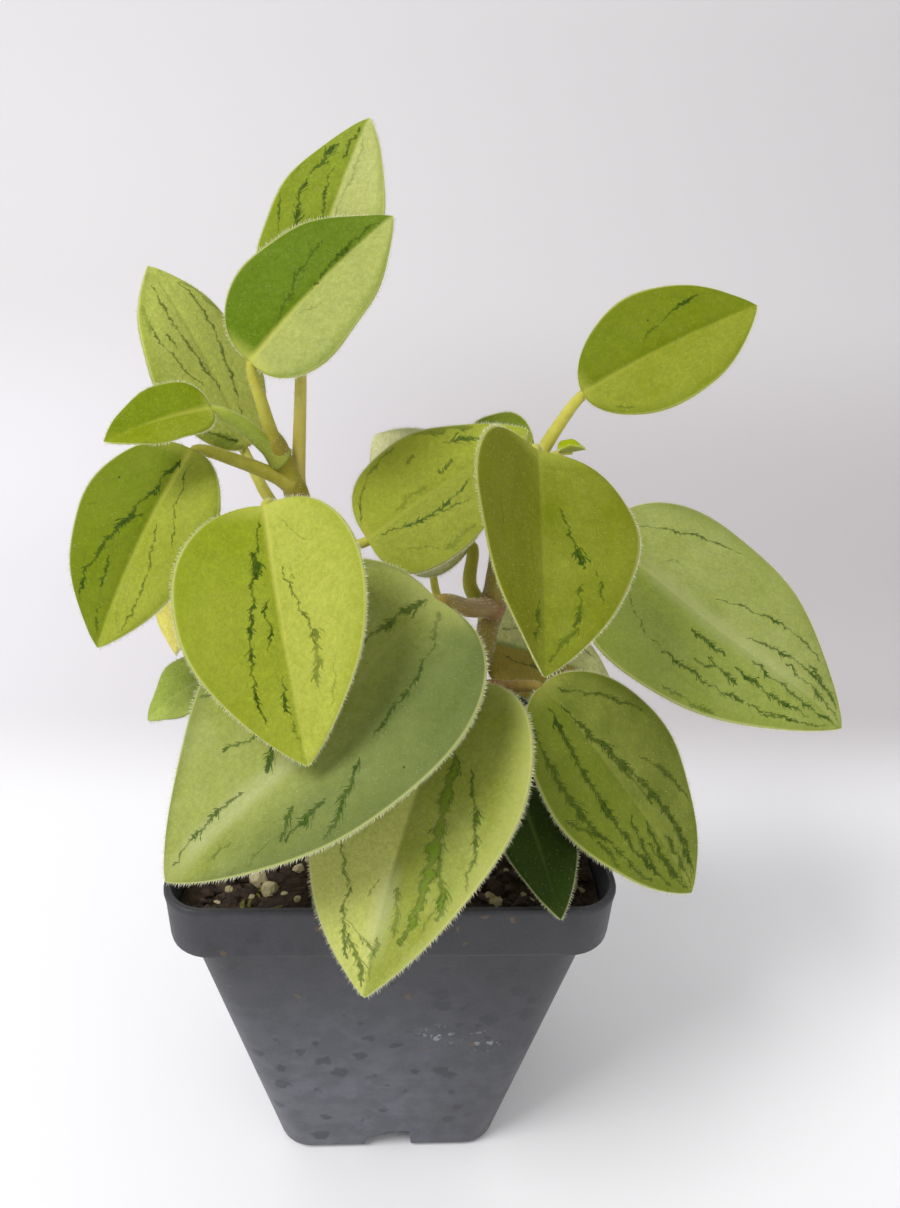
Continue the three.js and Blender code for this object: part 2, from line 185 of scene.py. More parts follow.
# One dark feathery streak that runs from the base towards the tip. Place is where a point lies on the
# blade: across from -1 to 1, along from 0 to 1, and half the blade's width there in millimetres.
def makeStreak():
    tree, given, result = newGroup(
        "leafStreak", ["Mask", "Core"],
        Length=50.0, Start=0.1, End=0.9, From=0.2, To=0.3, Bend=0.0, Width=0.5,
        Feather=0.6, Breaks=0.3, Seed=0.0)
    across, along, half = split(given["Place"])
    t = maths("DIVIDE", minus(along, given["Start"]), minus(given["End"], given["Start"]), clamp=True)
    hump = times(times(t, minus(1.0, t)), 4.0)
    taper = maths("POWER", hump, 0.4)
    straight = timesPlus(minus(given["To"], given["From"]), t, given["From"])
    centre = timesPlus(given["Bend"], hump, straight)
    reach = times(along, given["Length"])
    shift = times(given["Seed"], 17.3)
    wander = wave(timesPlus(reach, 0.3, shift), 3.0, 0.62)
    offset = times(minus(across, centre), half)
    away = timesPlus(minus(wander, 0.5), 2.4, offset)
    distance = maths("ABSOLUTE", away)
    side = timesPlus(maths("SIGN", away), 23.0, shift)
    slant = timesPlus(distance, -1.3, reach)
    teeth = wave(timesPlus(slant, 1.5, side), 4.0, 0.72)
    tooth = times(minus(teeth, 0.48), 6.5, clamp=True)
    swell = wave(timesPlus(reach, 0.22, times(shift, 3.0)), 3.0, 0.6)
    full = times(minus(swell, 0.36), 3.4, clamp=True)
    thick = timesPlus(full, 0.75, 0.3)
    body = times(times(given["Width"], 0.5), thick)
    fringe = times(times(given["Feather"], 1.6), times(tooth, thick))
    edge = times(plus(body, fringe), taper)
    mask = smoothStep(distance, minus(edge, 0.07), plus(edge, 0.05), 1.0, 0.0)
    cuts = wave(timesPlus(reach, 0.7, times(shift, 7.0)), 3.0, 0.6)
    kept = smoothStep(cuts, minus(given["Breaks"], 0.04), plus(given["Breaks"], 0.08))
    shown = times(mask, times(kept, timesPlus(full, 0.4, 0.6)))
    inside = smoothStep(distance, minus(edge, 0.9), minus(edge, 0.4), 1.0, 0.0)
    setSockets(result, {"Mask": shown, "Core": times(inside, shown)})
    return tree


mottle, specks, streak = makeMottle(), makeSpecks(), makeStreak()
print("pattern groups made")


def mottled(place, scale, contrast, seed):
    return useGroup(mottle, place, Scale=scale, Contrast=contrast, Seed=seed)["Mask"]


def speckled(place, scale, size, share):
    return useGroup(specks, place, Scale=scale, Size=size, Share=share)["Mask"]


# A new material, its shader, and the place of each point in millimetres
def newMaterial(name):
    material = bpy.data.materials.new(name)
    material.use_nodes = True
    shader = material.node_tree.nodes["Principled BSDF"]
    own = addNode(shader, "TexCoord").outputs["Object"]
    return material, shader, vectorMaths("SCALE", own, 1 / mm)[0]


# Meshes
def meshObject(name, points, faces, materials, slots=None, smooth=True):
    mesh = bpy.data.meshes.new(name)
    mesh.from_pydata((np.asarray(points) * mm).tolist(), [], faces)
    for material in materials:
        mesh.materials.append(material)
    if slots is not None:
        mesh.polygons.foreach_set("material_index", np.asarray(slots, np.int32))
    mesh.polygons.foreach_set("use_smooth", np.full(len(faces), smooth))
    mesh.update()
    piece = bpy.data.objects.new(name, mesh)
    bpy.context.scene.collection.objects.link(piece)
    return piece


def addAttribute(piece, name, values):
    kind, key = ("FLOAT_VECTOR", "vector") if values.ndim == 2 else ("FLOAT", "value")
    layer = piece.data.attributes.new(name, kind, "POINT")
    layer.data.foreach_set(key, values.astype(np.float32).ravel())


def dress(piece, slotName, *nodes):
    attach(piece, "root")
    if nodes:
        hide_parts(*nodes)
    return piece


def unit(vector):
    return vector / np.linalg.norm(vector, axis=-1, keepdims=True)


def pathLengths(line):
    return np.concatenate([[0], np.cumsum(np.linalg.norm(np.diff(line, axis=0), axis=1))])


def sampled(wanted, steps, values):
    return np.stack([np.interp(wanted, steps, values[:, k]) for k in range(3)], 1)


def between(t, p, q, start, end):
    return ((end - t) * p + (t - start) * q) / (end - start)


def catmullRom(points, count):
    points = [np.array(p, float) for p in points]
    points = [2 * points[0] - points[1], *points, 2 * points[-1] - points[-2]]
    found = []
    for four in zip(points, points[1:], points[2:], points[3:]):
        knots = np.cumsum([0] + [np.linalg.norm(q - p) ** 0.5 for p, q in zip(four, four[1:])])
        for t in np.linspace(knots[1], knots[2], count, endpoint=False):
            first = [between(t, four[i], four[i + 1], knots[i], knots[i + 1]) for i in range(3)]
            second = [between(t, first[i], first[i + 1], knots[i], knots[i + 2]) for i in range(2)]
            found.append(between(t, *second, knots[1], knots[2]))
    found.append(points[-2])
    return np.array(found)


def evenly(line, count):
    steps = pathLengths(line)
    return sampled(np.linspace(0, steps[-1], count), steps, line)


# The faces between rings of points, and between the first and last ring and their middle points
def loftFaces(ringCount, count):
    faces = [
        (r * count + i, r * count + (i + 1) % count, (r + 1) * count + (i + 1) % count, (r + 1) * count + i)
        for r in range(ringCount - 1) for i in range(count)
    ]
    top, first, last = (ringCount - 1) * count, ringCount * count, ringCount * count + 1
    faces += [((i + 1) % count, i, first) for i in range(count)]
    faces += [(top + i, top + (i + 1) % count, last) for i in range(count)]
    return faces


# A round body along a line, closed at both ends
def tube(line, radii, sides):
    tangents = unit(np.gradient(line, axis=0))
    across = unit(np.cross(tangents[0], (0.3, 0.9, 0.1)))
    angles = np.arange(sides) / sides * 2 * math.pi
    rings, frames = [], []
    for centre, tangent, radius in zip(line, tangents, radii):
        across = unit(across - tangent * (across @ tangent))
        other = np.cross(tangent, across)
        spokes = np.cos(angles)[:, None] * across + np.sin(angles)[:, None] * other
        rings.append(centre + spokes * radius)
        frames.append(spokes)
    points = np.concatenate([*rings, line[:1], line[-1:]])
    return points, loftFaces(len(line), sides), np.concatenate(frames)


# Hairs: one slim closed spike at each root
def hairs(roots, directions, lengths, thick, rng):
    helper = unit(np.cross(directions, rng.normal(size=roots.shape)))
    other = np.cross(directions, helper)
    points = np.zeros((len(roots), 4, 3))
    for k in range(3):
        angle = k * 2 * math.pi / 3
        points[:, k] = roots + (helper * math.cos(angle) + other * math.sin(angle)) * thick
    points[:, 3] = roots + directions * lengths[:, None]
    start = np.arange(len(roots))[:, None, None] * 4
    faces = (start + np.array([(0, 1, 3), (1, 2, 3), (2, 0, 3), (0, 2, 1)])).reshape(-1, 3)
    return points.reshape(-1, 3), faces


# Pot. A curve's rows are steps inwards and upwards, or downwards from the top for the rim's edge. Haze,
# blotch and fine are patterns by scale, contrast and seed. Drops, specks and crust are patterns of dots by
# scale, size and share.
potLook = {
    "wall": 1.2, "underRimHalf": 40.5, "baseHalf": 26.2, "rimBand": 12.0, "rimTaper": 0.6, "floor": 1.6,
    "rimCorner": 9.0, "bodyCorner": 8.0, "sharpAngle": 38,
    "footCurve": ((1.8, 0), (1.0, 0.15), (0.4, 0.6)), "rimFootCurve": ((0.4, 0), (0, 0.4), (-0.1, 1.2)),
    "rimEdgeCurve": ((0.25, 3), (0.05, 1.4), (0, 0.9), (0.05, 0.35)), "lip": (0.3, 0.2, 0.05),
    "lipInsideCurve": ((0.1, 0.1), (0.3, 0.5)), "bend": 0.3, "innerBend": 0.5, "bodyFrom": (1.4, 6),
    "bodyRings": 9,
    "notch": {
        "width": 12.0, "height": 7.5, "drop": 3.0, "depth": 6.0, "slope": 0.6, "round": 1.8, "below": 2.0,
        "wallBottom": 0.5, "cornerAngles": (0.5, 0.9, 1.25, 1.57)},
    "drainRadius": 3.5, "drainOffset": 13.0, "drainSides": 32,
    "colour": "#28282c", "dust": "#63656d", "stain": "#1f2025", "grit": "#5c4a30", "lime": "#9c9ea4",
    "haze": (0.05, 1.6, 3.0), "blotch": (0.2, 5.0, 8.0), "fine": (1.5, 2.0, 1.0),
    # The dust thins towards the rim. Its thinning towards +x is painted shade, so the right side of the pot
    # shows darker
    "dustUp": (15.0, 84.0, 1.0, 0.08), "paintedShadeAcross": (-12.0, 34.0, 1.0, 0.36),
    "drops": (0.2, 0.42, 0.6), "specks": (0.22, 0.19, 0.36), "crust": (0.7, 0.5, 0.5),
    "limeAt": ((10, -35, 47), (20, -34, 45)), "roughness": 0.42,
}


def roundedSquare(half, corner, z, cornerSteps=10, sideSteps=12):
    def onCorner(quarter, turn):
        signs = np.array(((1, 1), (-1, 1), (-1, -1), (1, -1))[quarter % 4])
        angle = turn * math.pi / 2
        return signs * (half - corner) + corner * np.array([math.cos(angle), math.sin(angle)])

    ring = []
    for quarter in range(4):
        ring += [onCorner(quarter, quarter + step / (cornerSteps - 1)) for step in range(cornerSteps)]
        end, start = ring[-1], onCorner(quarter + 1, quarter + 1)
        ring += [end + (start - end) * step / sideSteps for step in range(1, sideSteps)]
    return np.column_stack([ring, np.full(len(ring), z)])


def potMaterial():
    look = potLook
    material, shader, place = newMaterial("dustyPlasticPaintedShade")
    haze, blotch, fine = (mottled(place, *look[key]) for key in ("haze", "blotch", "fine"))
    side, _, height = split(place)
    # Dust, and painted shade: the dust thins towards +x, so the pot's right side shows darker
    lower = times(smoothStep(height, *look["dustUp"]), smoothStep(side, *look["paintedShadeAcross"]))
    dustAndPaintedShade = times(timesPlus(haze, 0.9, 0.5), lower, clamp=True)
    ragged = addNode(place, "TexNoise", {"Vector": place, "Scale": 0.5, "Detail": 2.0}).outputs["Color"]
    ragged = vectorMaths("ADD", place, vectorMaths("SCALE", ragged, 3.0)[0])[0]
    drops, grit, crust = (speckled(ragged, *look[key]) for key in ("drops", "specks", "crust"))
    colour = mixColour(dustAndPaintedShade, look["colour"], look["dust"])
    layers = (blotch, 0.35, "stain"), (drops, 0.66, "stain"), (fine, 0.12, "dust"), (grit, 0.75, "grit")
    for mask, share, over in layers:
        colour = mixColour(times(mask, share), colour, look[over])
    for spot in look["limeAt"]:
        apart = vectorMaths("DISTANCE", place, spot)["Value"]
        colour = mixColour(times(crust, smoothStep(apart, 1.5, 5.5, 0.6, 0.0)), colour, look["lime"])
    relief = timesPlus(fine, 0.4, times(grit, 0.8))
    rough = timesPlus(haze, 0.2, look["roughness"])
    setSockets(shader, {"Base Color": colour, "Roughness": rough, "Normal": bump(relief, 0.35, 0.15)})
    return material


# Half width of the pot's outside below its rim band
def bodyHalf(z):
    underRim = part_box("pot")[1].z / mm - potLook["rimBand"]
    return potLook["baseHalf"] + (potLook["underRimHalf"] - potLook["baseHalf"]) * z / underRim


def makePot():
    look = potLook
    rimHalf, _, height = np.array(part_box("pot")[1]) / mm
    wall, body, rim, narrow = (look[key] for key in ("wall", "bodyCorner", "rimCorner", "underRimHalf"))
    underRim, rimFoot, inner = height - look["rimBand"], rimHalf - look["rimTaper"], rimHalf - wall
    profile = [(look["baseHalf"] - x, body - x, z) for x, z in look["footCurve"]]
    (lowest, start), bend = look["bodyFrom"], look["bend"]
    heights = lowest, *np.linspace(start, underRim - 1, look["bodyRings"])
    profile += [(bodyHalf(z), body, z) for z in heights]
    profile += [(narrow, body, underRim - bend), (narrow + bend, body, underRim)]
    profile += [(rimFoot - x, rim, underRim + z) for x, z in look["rimFootCurve"]]
    profile += [(rimHalf - x, rim, height - z) for x, z in look["rimEdgeCurve"]]
    inset, tighter, drop = look["lip"]
    profile += [(rimHalf - inset, rim - tighter, height - drop), (rimHalf - wall / 2, rim - wall / 2, height)]
    profile += [(inner - x, rim - wall, height - z) for x, z in look["lipInsideCurve"]]
    profile += [
        (inner - look["rimTaper"], rim - wall, underRim + wall + look["innerBend"]),
        (narrow - wall, body - wall, underRim + wall),
        (bodyHalf(look["floor"]) - wall, body - wall, look["floor"]),
    ]
    rings = [roundedSquare(*ring) for ring in profile]
    points = np.concatenate([*rings, [(0, 0, 0)], [(0, 0, look["floor"])]])
    pot = meshObject("squarePot", points, loftFaces(len(rings), len(rings[0])), [potMaterial()])
    for side in range(4):
        combine(pot, notchTool(side, wall, isWall=True), "UNION")
        combine(pot, notchTool(side), "DIFFERENCE")
        combine(pot, drainHoleTool(side), "DIFFERENCE")
    pot.data.set_sharp_from_angle(angle=math.radians(look["sharpAngle"]))
    return dress(pot, "pot", "pot")


def combine(piece, cutter, operation):
    modifier = piece.modifiers.new("combine", "BOOLEAN")
    modifier.operation = operation
    modifier.object = cutter
    modifier.solver = "EXACT"
    bpy.context.view_layer.objects.active = piece
    bpy.ops.object.modifier_apply(modifier="combine")
    bpy.data.objects.remove(cutter)


# The recess in the middle of a side's bottom edge, grown for the wall round it or for the mix. A wall's
# front face lies in the middle of the pot's wall.
def notchTool(side, grown=0.0, isWall=False):
    look, notch = potLook, potLook["notch"]
    halfWidth, height, curve = notch["width"] / 2 + grown, notch["height"] + grown, notch["round"]
    bottom = notch["wallBottom"] if isWall else -notch["below"]
    bend = [(curve * math.cos(a) - curve, curve * math.sin(a) - curve) for a in notch["cornerAngles"]]
    arch = [(-halfWidth, bottom), (halfWidth, bottom)]
    arch += [(halfWidth - notch["slope"] + x, height + z) for x, z in bend]
    arch += [(notch["slope"] - halfWidth - x, height - notch["drop"] + z) for x, z in reversed(bend)]
    back = notch["depth"] + grown - look["baseHalf"]
    deep = -look["baseHalf"] - notch["depth"]
    fronts = [-bodyHalf(z) + look["wall"] / 2 if isWall else deep for x, z in arch]
    turn = Matrix.Rotation(side * math.pi / 2, 3, "Z")
    points = [(x, y, z) for (x, z), y in zip(arch, fronts)] + [(x, back, z) for x, z in arch]
    count = len(arch)
    faces = [tuple(range(count)), tuple(reversed(range(count, 2 * count)))]
    faces += [(i, i + count, (i + 1) % count + count, (i + 1) % count) for i in range(count)]
    return meshObject("notchTool", [tuple(turn @ Vector(p)) for p in points], faces, [])


def drainHoleTool(corner):
    offset, radius, sides = (potLook[key] for key in ("drainOffset", "drainRadius", "drainSides"))
    angles = np.arange(sides) / sides * 2 * math.pi
    turn = Matrix.Rotation(corner * math.pi / 2, 3, "Z")
    points = [
        tuple(turn @ Vector((radius * math.cos(a) + offset, radius * math.sin(a) + offset, z)))
        for z in (-1, 3) for a in angles
    ]
    faces = [tuple(reversed(range(sides))), tuple(range(sides, 2 * sides))]
    faces += [(i, (i + 1) % sides, (i + 1) % sides + sides, i + sides) for i in range(sides)]
    return meshObject("drainHoleTool", points, faces, [])


makePot()
print("pot made")


# Potting mix: a block with a rough top, and crumbs of four kinds on it. Waves and lumps are noise patterns by
# scale and slice.
soilLook = {
    "lowest": 82.6, "footHalf": 24.8, "innerHalf": 41.9, "rough": 1.3, "rings": 56, "seed": 21,
    "clearance": 0.3, "corner": 7.5, "crumbRoom": 2.2, "highest": 85.4, "smallShare": 0.6, "smallSize": 0.75,
    "footCorner": 6, "shoulder": {"inset": 3, "corner": 7, "height": 78.9}, "edgeAt": 80.4,
    "waves": (0.09, 3.1), "waveShare": 0.7, "lumps": (0.45, 7.7), "lumpShare": 1.1, "dent": 1.6,
    "tilt": (-0.7, 0.7), "turn": (0, 6.28), "lift": (-0.1, 0.45),
}
# Each kind: material, dark, pale, roughness, patch scale, how many, sizes, proportions, roundness, lumps
soilKinds = [
    ("peat", "#231a13", "#4a3a2a", 0.95, 0.5, 1100, (0.5, 1.7), (1.0, 1.3, 0.7), 1, 0.28),
    ("perliteCrumb", "#a39468", "#d2c79e", 0.9, 0.8, 210, (0.6, 1.9), (1.0, 1.1, 0.9), 2, 0.11),
    ("barkFlake", "#1f140c", "#3a2615", 0.9, 0.7, 70, (0.9, 2.0), (2.3, 1.2, 0.45), 1, 0.28),
    ("mossTuft", "#4d5420", "#7d7c28", 0.9, 0.9, 90, (0.4, 0.9), (2.6, 0.9, 0.5), 1, 0.28),
]


def soilMaterial(name, dark, pale, roughness, scale):
    material, shader, place = newMaterial(name)
    colour = mixColour(mottled(place, scale, 3.0, 5.0), dark, pale)
    relief = bump(mottled(place, scale * 5, 2.0, 2.0), 0.6, 0.25)
    setSockets(shader, {"Base Color": colour, "Normal": relief, "Roughness": roughness})
    return material


def roundLump(detail):
    work = bmesh.new()
    bmesh.ops.create_icosphere(work, subdivisions=detail, radius=1)
    points = np.array([tuple(v.co) for v in work.verts])
    faces = [tuple(v.index for v in f.verts) for f in work.faces]
    work.free()
    return points, faces


def soilHeight(x, y):
    look = soilLook
    wide, close = (Vector((x * scale, y * scale, level)) for scale, level in (look["waves"], look["lumps"]))
    coarse, fine = noise.fractal(wide, 0.8, 2.0, 4), noise.turbulence(close, 4, False)
    return look["lowest"] + look["rough"] * (look["waveShare"] * coarse + look["lumpShare"] * fine)


def makeSoil():
    look = soilLook
    rng = np.random.default_rng(look["seed"])
    half, corner, shoulder = (look[key] for key in ("innerHalf", "corner", "shoulder"))
    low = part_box("soil")[0].z / mm
    rings = [
        roundedSquare(look["footHalf"], look["footCorner"], low),
        roundedSquare(half - shoulder["inset"], shoulder["corner"], shoulder["height"]),
        roundedSquare(half, corner, look["edgeAt"]),
    ]
    for share in np.linspace(1, 0.02, look["rings"]):
        ring = roundedSquare(half * share, corner * share, 0)
        ring[:, 2] = [soilHeight(x, y) for x, y, z in ring]
        rings.append(ring)
    points = np.concatenate([*rings, [(0, 0, low)], [(0, 0, soilHeight(0, 0))]])
    block = meshObject("mixBlock", points, loftFaces(len(rings), len(rings[0])), [])
    for side in range(4):
        combine(block, notchTool(side, potLook["wall"] + look["clearance"]), "DIFFERENCE")
    points = np.array([tuple(vertex.co / mm) for vertex in block.data.vertices])
    faces = [tuple(face.vertices) for face in block.data.polygons]
    slots = [0] * len(faces)
    bpy.data.objects.remove(block)
    chunks, offset = [points], len(points)
    for slotIndex, (*_, count, sizes, proportions, detail, lumps) in enumerate(soilKinds):
        icoPoints, icoFaces = roundLump(detail)
        for _ in range(count):
            x, y = rng.uniform(-half + look["crumbRoom"], half - look["crumbRoom"], 2)
            size = rng.uniform(*sizes) * (look["smallSize"] if rng.random() < look["smallShare"] else 1.0)
            dents = rng.normal(size=(len(icoPoints), 1)).clip(-look["dent"], look["dent"])
            turned = icoPoints * (1 + lumps * dents) * np.array(proportions) * size
            for turn, axis in ("tilt", "X"), ("turn", "Z"):
                turned = turned @ np.array(Matrix.Rotation(rng.uniform(*look[turn]), 3, axis)).T
            z = soilHeight(x, y) + size * rng.uniform(*look["lift"]) * proportions[2]
            chunks.append(turned + (x, y, min(z, look["highest"])))
            faces += [tuple(offset + i for i in f) for f in icoFaces]
            slots += [slotIndex] * len(icoFaces)
            offset += len(icoPoints)
    materials = [soilMaterial(*kind[:5]) for kind in soilKinds]
    soil = meshObject("pottingMix", np.concatenate(chunks), faces, materials, slots, smooth=False)
    return dress(soil, "soil", "soil")


makeSoil()
print("potting mix made")


# Stems: the same centre lines, radii and nodes as the solids
stemLook = {
    "left": {
        "line": [
            (-7, 6, 74), (-9, 6, 90), (-14, 4, 115), (-19, 2, 138), (-20, 1, 154), (-23, 0, 163),
            (-26, -1, 170)],
        "radius": (3.1, 1.8), "nodes": (104, 124, 140, 157, 166),
        "skin": ("#948c18", "#b2aa28", "#7c5c14", 0.5),
    },
    "right": {
        "line": [
            (8, 4, 74), (10, 4, 90), (15, 2, 110), (19, 1, 124), (20, 0, 134), (21, 1, 144), (25, 4, 157),
            (28, 6, 165)],
        "radius": (3.4, 1.7), "nodes": (98, 113, 133, 148, 161),
        "skin": ("#7c6c1c", "#93842c", "#5c3a12", 0.8),
    },
}
stemShape = {
    "swell": 0.55, "span": 3.0, "sides": 24, "inset": 0.05, "bumps": 0.16, "hairs": 2600,
    "hair": {"lengths": (0.35, 0.9), "thick": 0.045, "sink": 0.15, "scatter": 0.12},
}
skinShine = {
    "Roughness": 0.6, "Sheen Weight": 0.1, "Subsurface Weight": 0.1,
    "Subsurface Radius": (0.002, 0.0025, 0.0005),
}


# The last number is how much of the brown shows at the end that the attribute marks
def skinMaterial(name, near, green, pale, brown, brownShare):
    material, shader, place = newMaterial(name)
    patches, fine = mottled(place, 0.25, 2.5, 4.0), mottled(place, 2.5, 2.5, 6.0)
    colour = mixColour(patches, green, pale)
    share = times(timesPlus(patches, 0.4, 0.7), attribute(place, near)["Fac"], clamp=True)
    colour = mixColour(times(share, brownShare), colour, brown)
    colour = mixColour(times(fine, 0.18), colour, pale)
    setSockets(shader, {"Base Color": colour, "Normal": bump(fine, 0.4, 0.12), **skinShine})
    return material


def hairMaterial():
    material, shader, place = newMaterial("paleHair")
    colour = mixColour(mottled(place, 0.3, 2.0, 2.0), "#dcdfae", "#f0f1d6")
    setSockets(shader, {"Base Color": colour, "Roughness": 0.5})
    return material


paleHair = hairMaterial()
# The pale stalk skin is painted light: a lighter colour for leaf_top_back's stalk, which lies in the shadow
# of leaf_top_front
stalkSkins = {name: skinMaterial(name + "Stalk", "nearStem", *skin) for name, *skin in (
    ("yellow", "#b0aa2a", "#cac448", "#846418", 0.35), ("green", "#92a628", "#aebb40", "#7c6a1c", 0.4),
    ("pale", "#d6ca54", "#e4da78", "#b08a3a", 0.5), ("brown", "#a89a34", "#b4a444", "#744818", 1.0))}


def addHairs(name, slotName, found):
    dress(meshObject(name + "Hairs", found[0], found[1].tolist(), [paleHair]), slotName)


# Hairs that stand out from the chosen points of a tube
def tubeHairs(points, spokes, chosen, look, rng):
    way = unit(spokes[chosen] + 0.35 * rng.normal(size=(len(chosen), 3)))
    lengths = rng.uniform(*look["lengths"], len(chosen))
    roots = points[chosen] - spokes[chosen] * look["sink"]
    if "scatter" in look:
        roots = roots + rng.normal(size=roots.shape) * look["scatter"]
    return hairs(roots, way, lengths, look["thick"], rng)


def stemLine(name, count=400):
    return evenly(catmullRom(stemLook[name]["line"], 60), count)


def makeStem(name):
    look, shape = stemLook[name], stemShape
    rng = np.random.default_rng(len(name))
    line = stemLine(name, 150)
    t = np.linspace(0, 1, len(line))
    root, top = look["radius"]
    swell = np.max([np.exp(-((line[:, 2] - z) / shape["span"]) ** 2) for z in look["nodes"]], axis=0)
    radii = root + (top - root) * t + shape["swell"] * swell - shape["inset"]
    radii = radii * np.where(t > 0.985, 0.8, 1.0)
    points, faces, spokes = tube(line, radii, shape["sides"])
    bumps = [shape["bumps"] * noise.noise(Vector(p) * 0.45) for p in points[:len(spokes)]]
    points[:len(spokes)] += spokes * np.array(bumps)[:, None]
    skin = skinMaterial(f"{name}StemSkin", "nearNode", *look["skin"])
    stem = meshObject(f"{name}Stem", points, faces, [skin])
    addAttribute(stem, "nearNode", np.concatenate([np.repeat(swell, shape["sides"]), [swell[0], swell[-1]]]))
    dress(stem, "stem", f"stem_{name}")
    chosen = rng.integers(len(spokes) // 5, len(spokes), shape["hairs"])
    addHairs(f"{name}Stem", "stem", tubeHairs(points, spokes, chosen, shape["hair"], rng))


for stemName in stemLook:
    makeStem(stemName)
print("stems made")


# Leaves. grows, via, base, tip and the shape values are those of the solids, in millimetres and degrees.
# sway: how far the midrib bows to one side, as a share of the half width. vee: a sharper crease beside the
# midrib, in millimetres. A streak, all in hundredths: start and end along the blade, place across at its
# start and end, width in millimetres, strength, feather, breaks, and its bend where it has one.
leafShape = {
    "thick": 0.5, "edgeRoom": 0.35, "tipRoom": 0.45, "point": 0.9, "stalkSink": 0.55, "stalkSides": 16,
    "grooveDepth": 0.32, "grooveWidth": 0.6, "ribDepth": 0.55, "ribWidth": 0.95, "veinDepth": 0.2,
    "veinsAt": (0.36, 0.68), "veinWidth": 1.1, "wave": 0.32, "marginWave": 0.4, "waves": (9.5, 2.2),
    "marginWaves": (15, 1.3), "veeReach": 2.2, "lobe": 3.2, "edgeRound": 9,
    "stalkTaper": (1.15, 0.35), "inBlade": (0.8, 6.0, 0.02), "footSwell": (0.5, 2.2),
}
usualLeaf = dict(
    via=None, arch=0.04, belly=0.5, sway=0, notch=0.05, shear=0, crease=0.5, curl=0, vee=0.3, cilia=1,
    stalk=1.25, stalkSkin="yellow", brownFoot=5, shadeSide=0, shadeSoft=0.6, shadeFade=0.1, haze=0.15,
    ribShare=0.65, ribBloom=None, coreShare=0.2, streaks=())
# The second tone colour is painted light and shade. It is laid over the half of the blade that shadeSide
# picks, darker or lighter for how the light falls on the two halves of the fold. Towards the margin it is
# blended in as painted shade.
toneKeys = ("face", "paintedLightAndShade", "rim", "rib", "streak", "under", "bloom")
leafTones = {
    "lime": ("#a4aa42", "#869410", "#ccd07c", "#c0c258", "#2c4400", "#a0a850", "#bcc060"),
    "green": ("#8f992c", "#6a7a00", "#c4c870", "#b0b348", "#284200", "#98a04c", "#a8ae4c"),
    "grey": ("#919b42", "#7c8834", "#c8cc84", "#acb064", "#2e4810", "#9ea65c", "#b0b678"),
    "dark": ("#2c3e0c", "#223408", "#9aa466", "#66803a", "#183410", "#74903e", "#3a5416"),
    "yellow": ("#e0d66e", "#cec252", "#e2d88e", "#e0d67c", "#b09c34", "#d8cc6c", "#dcd274"),
}
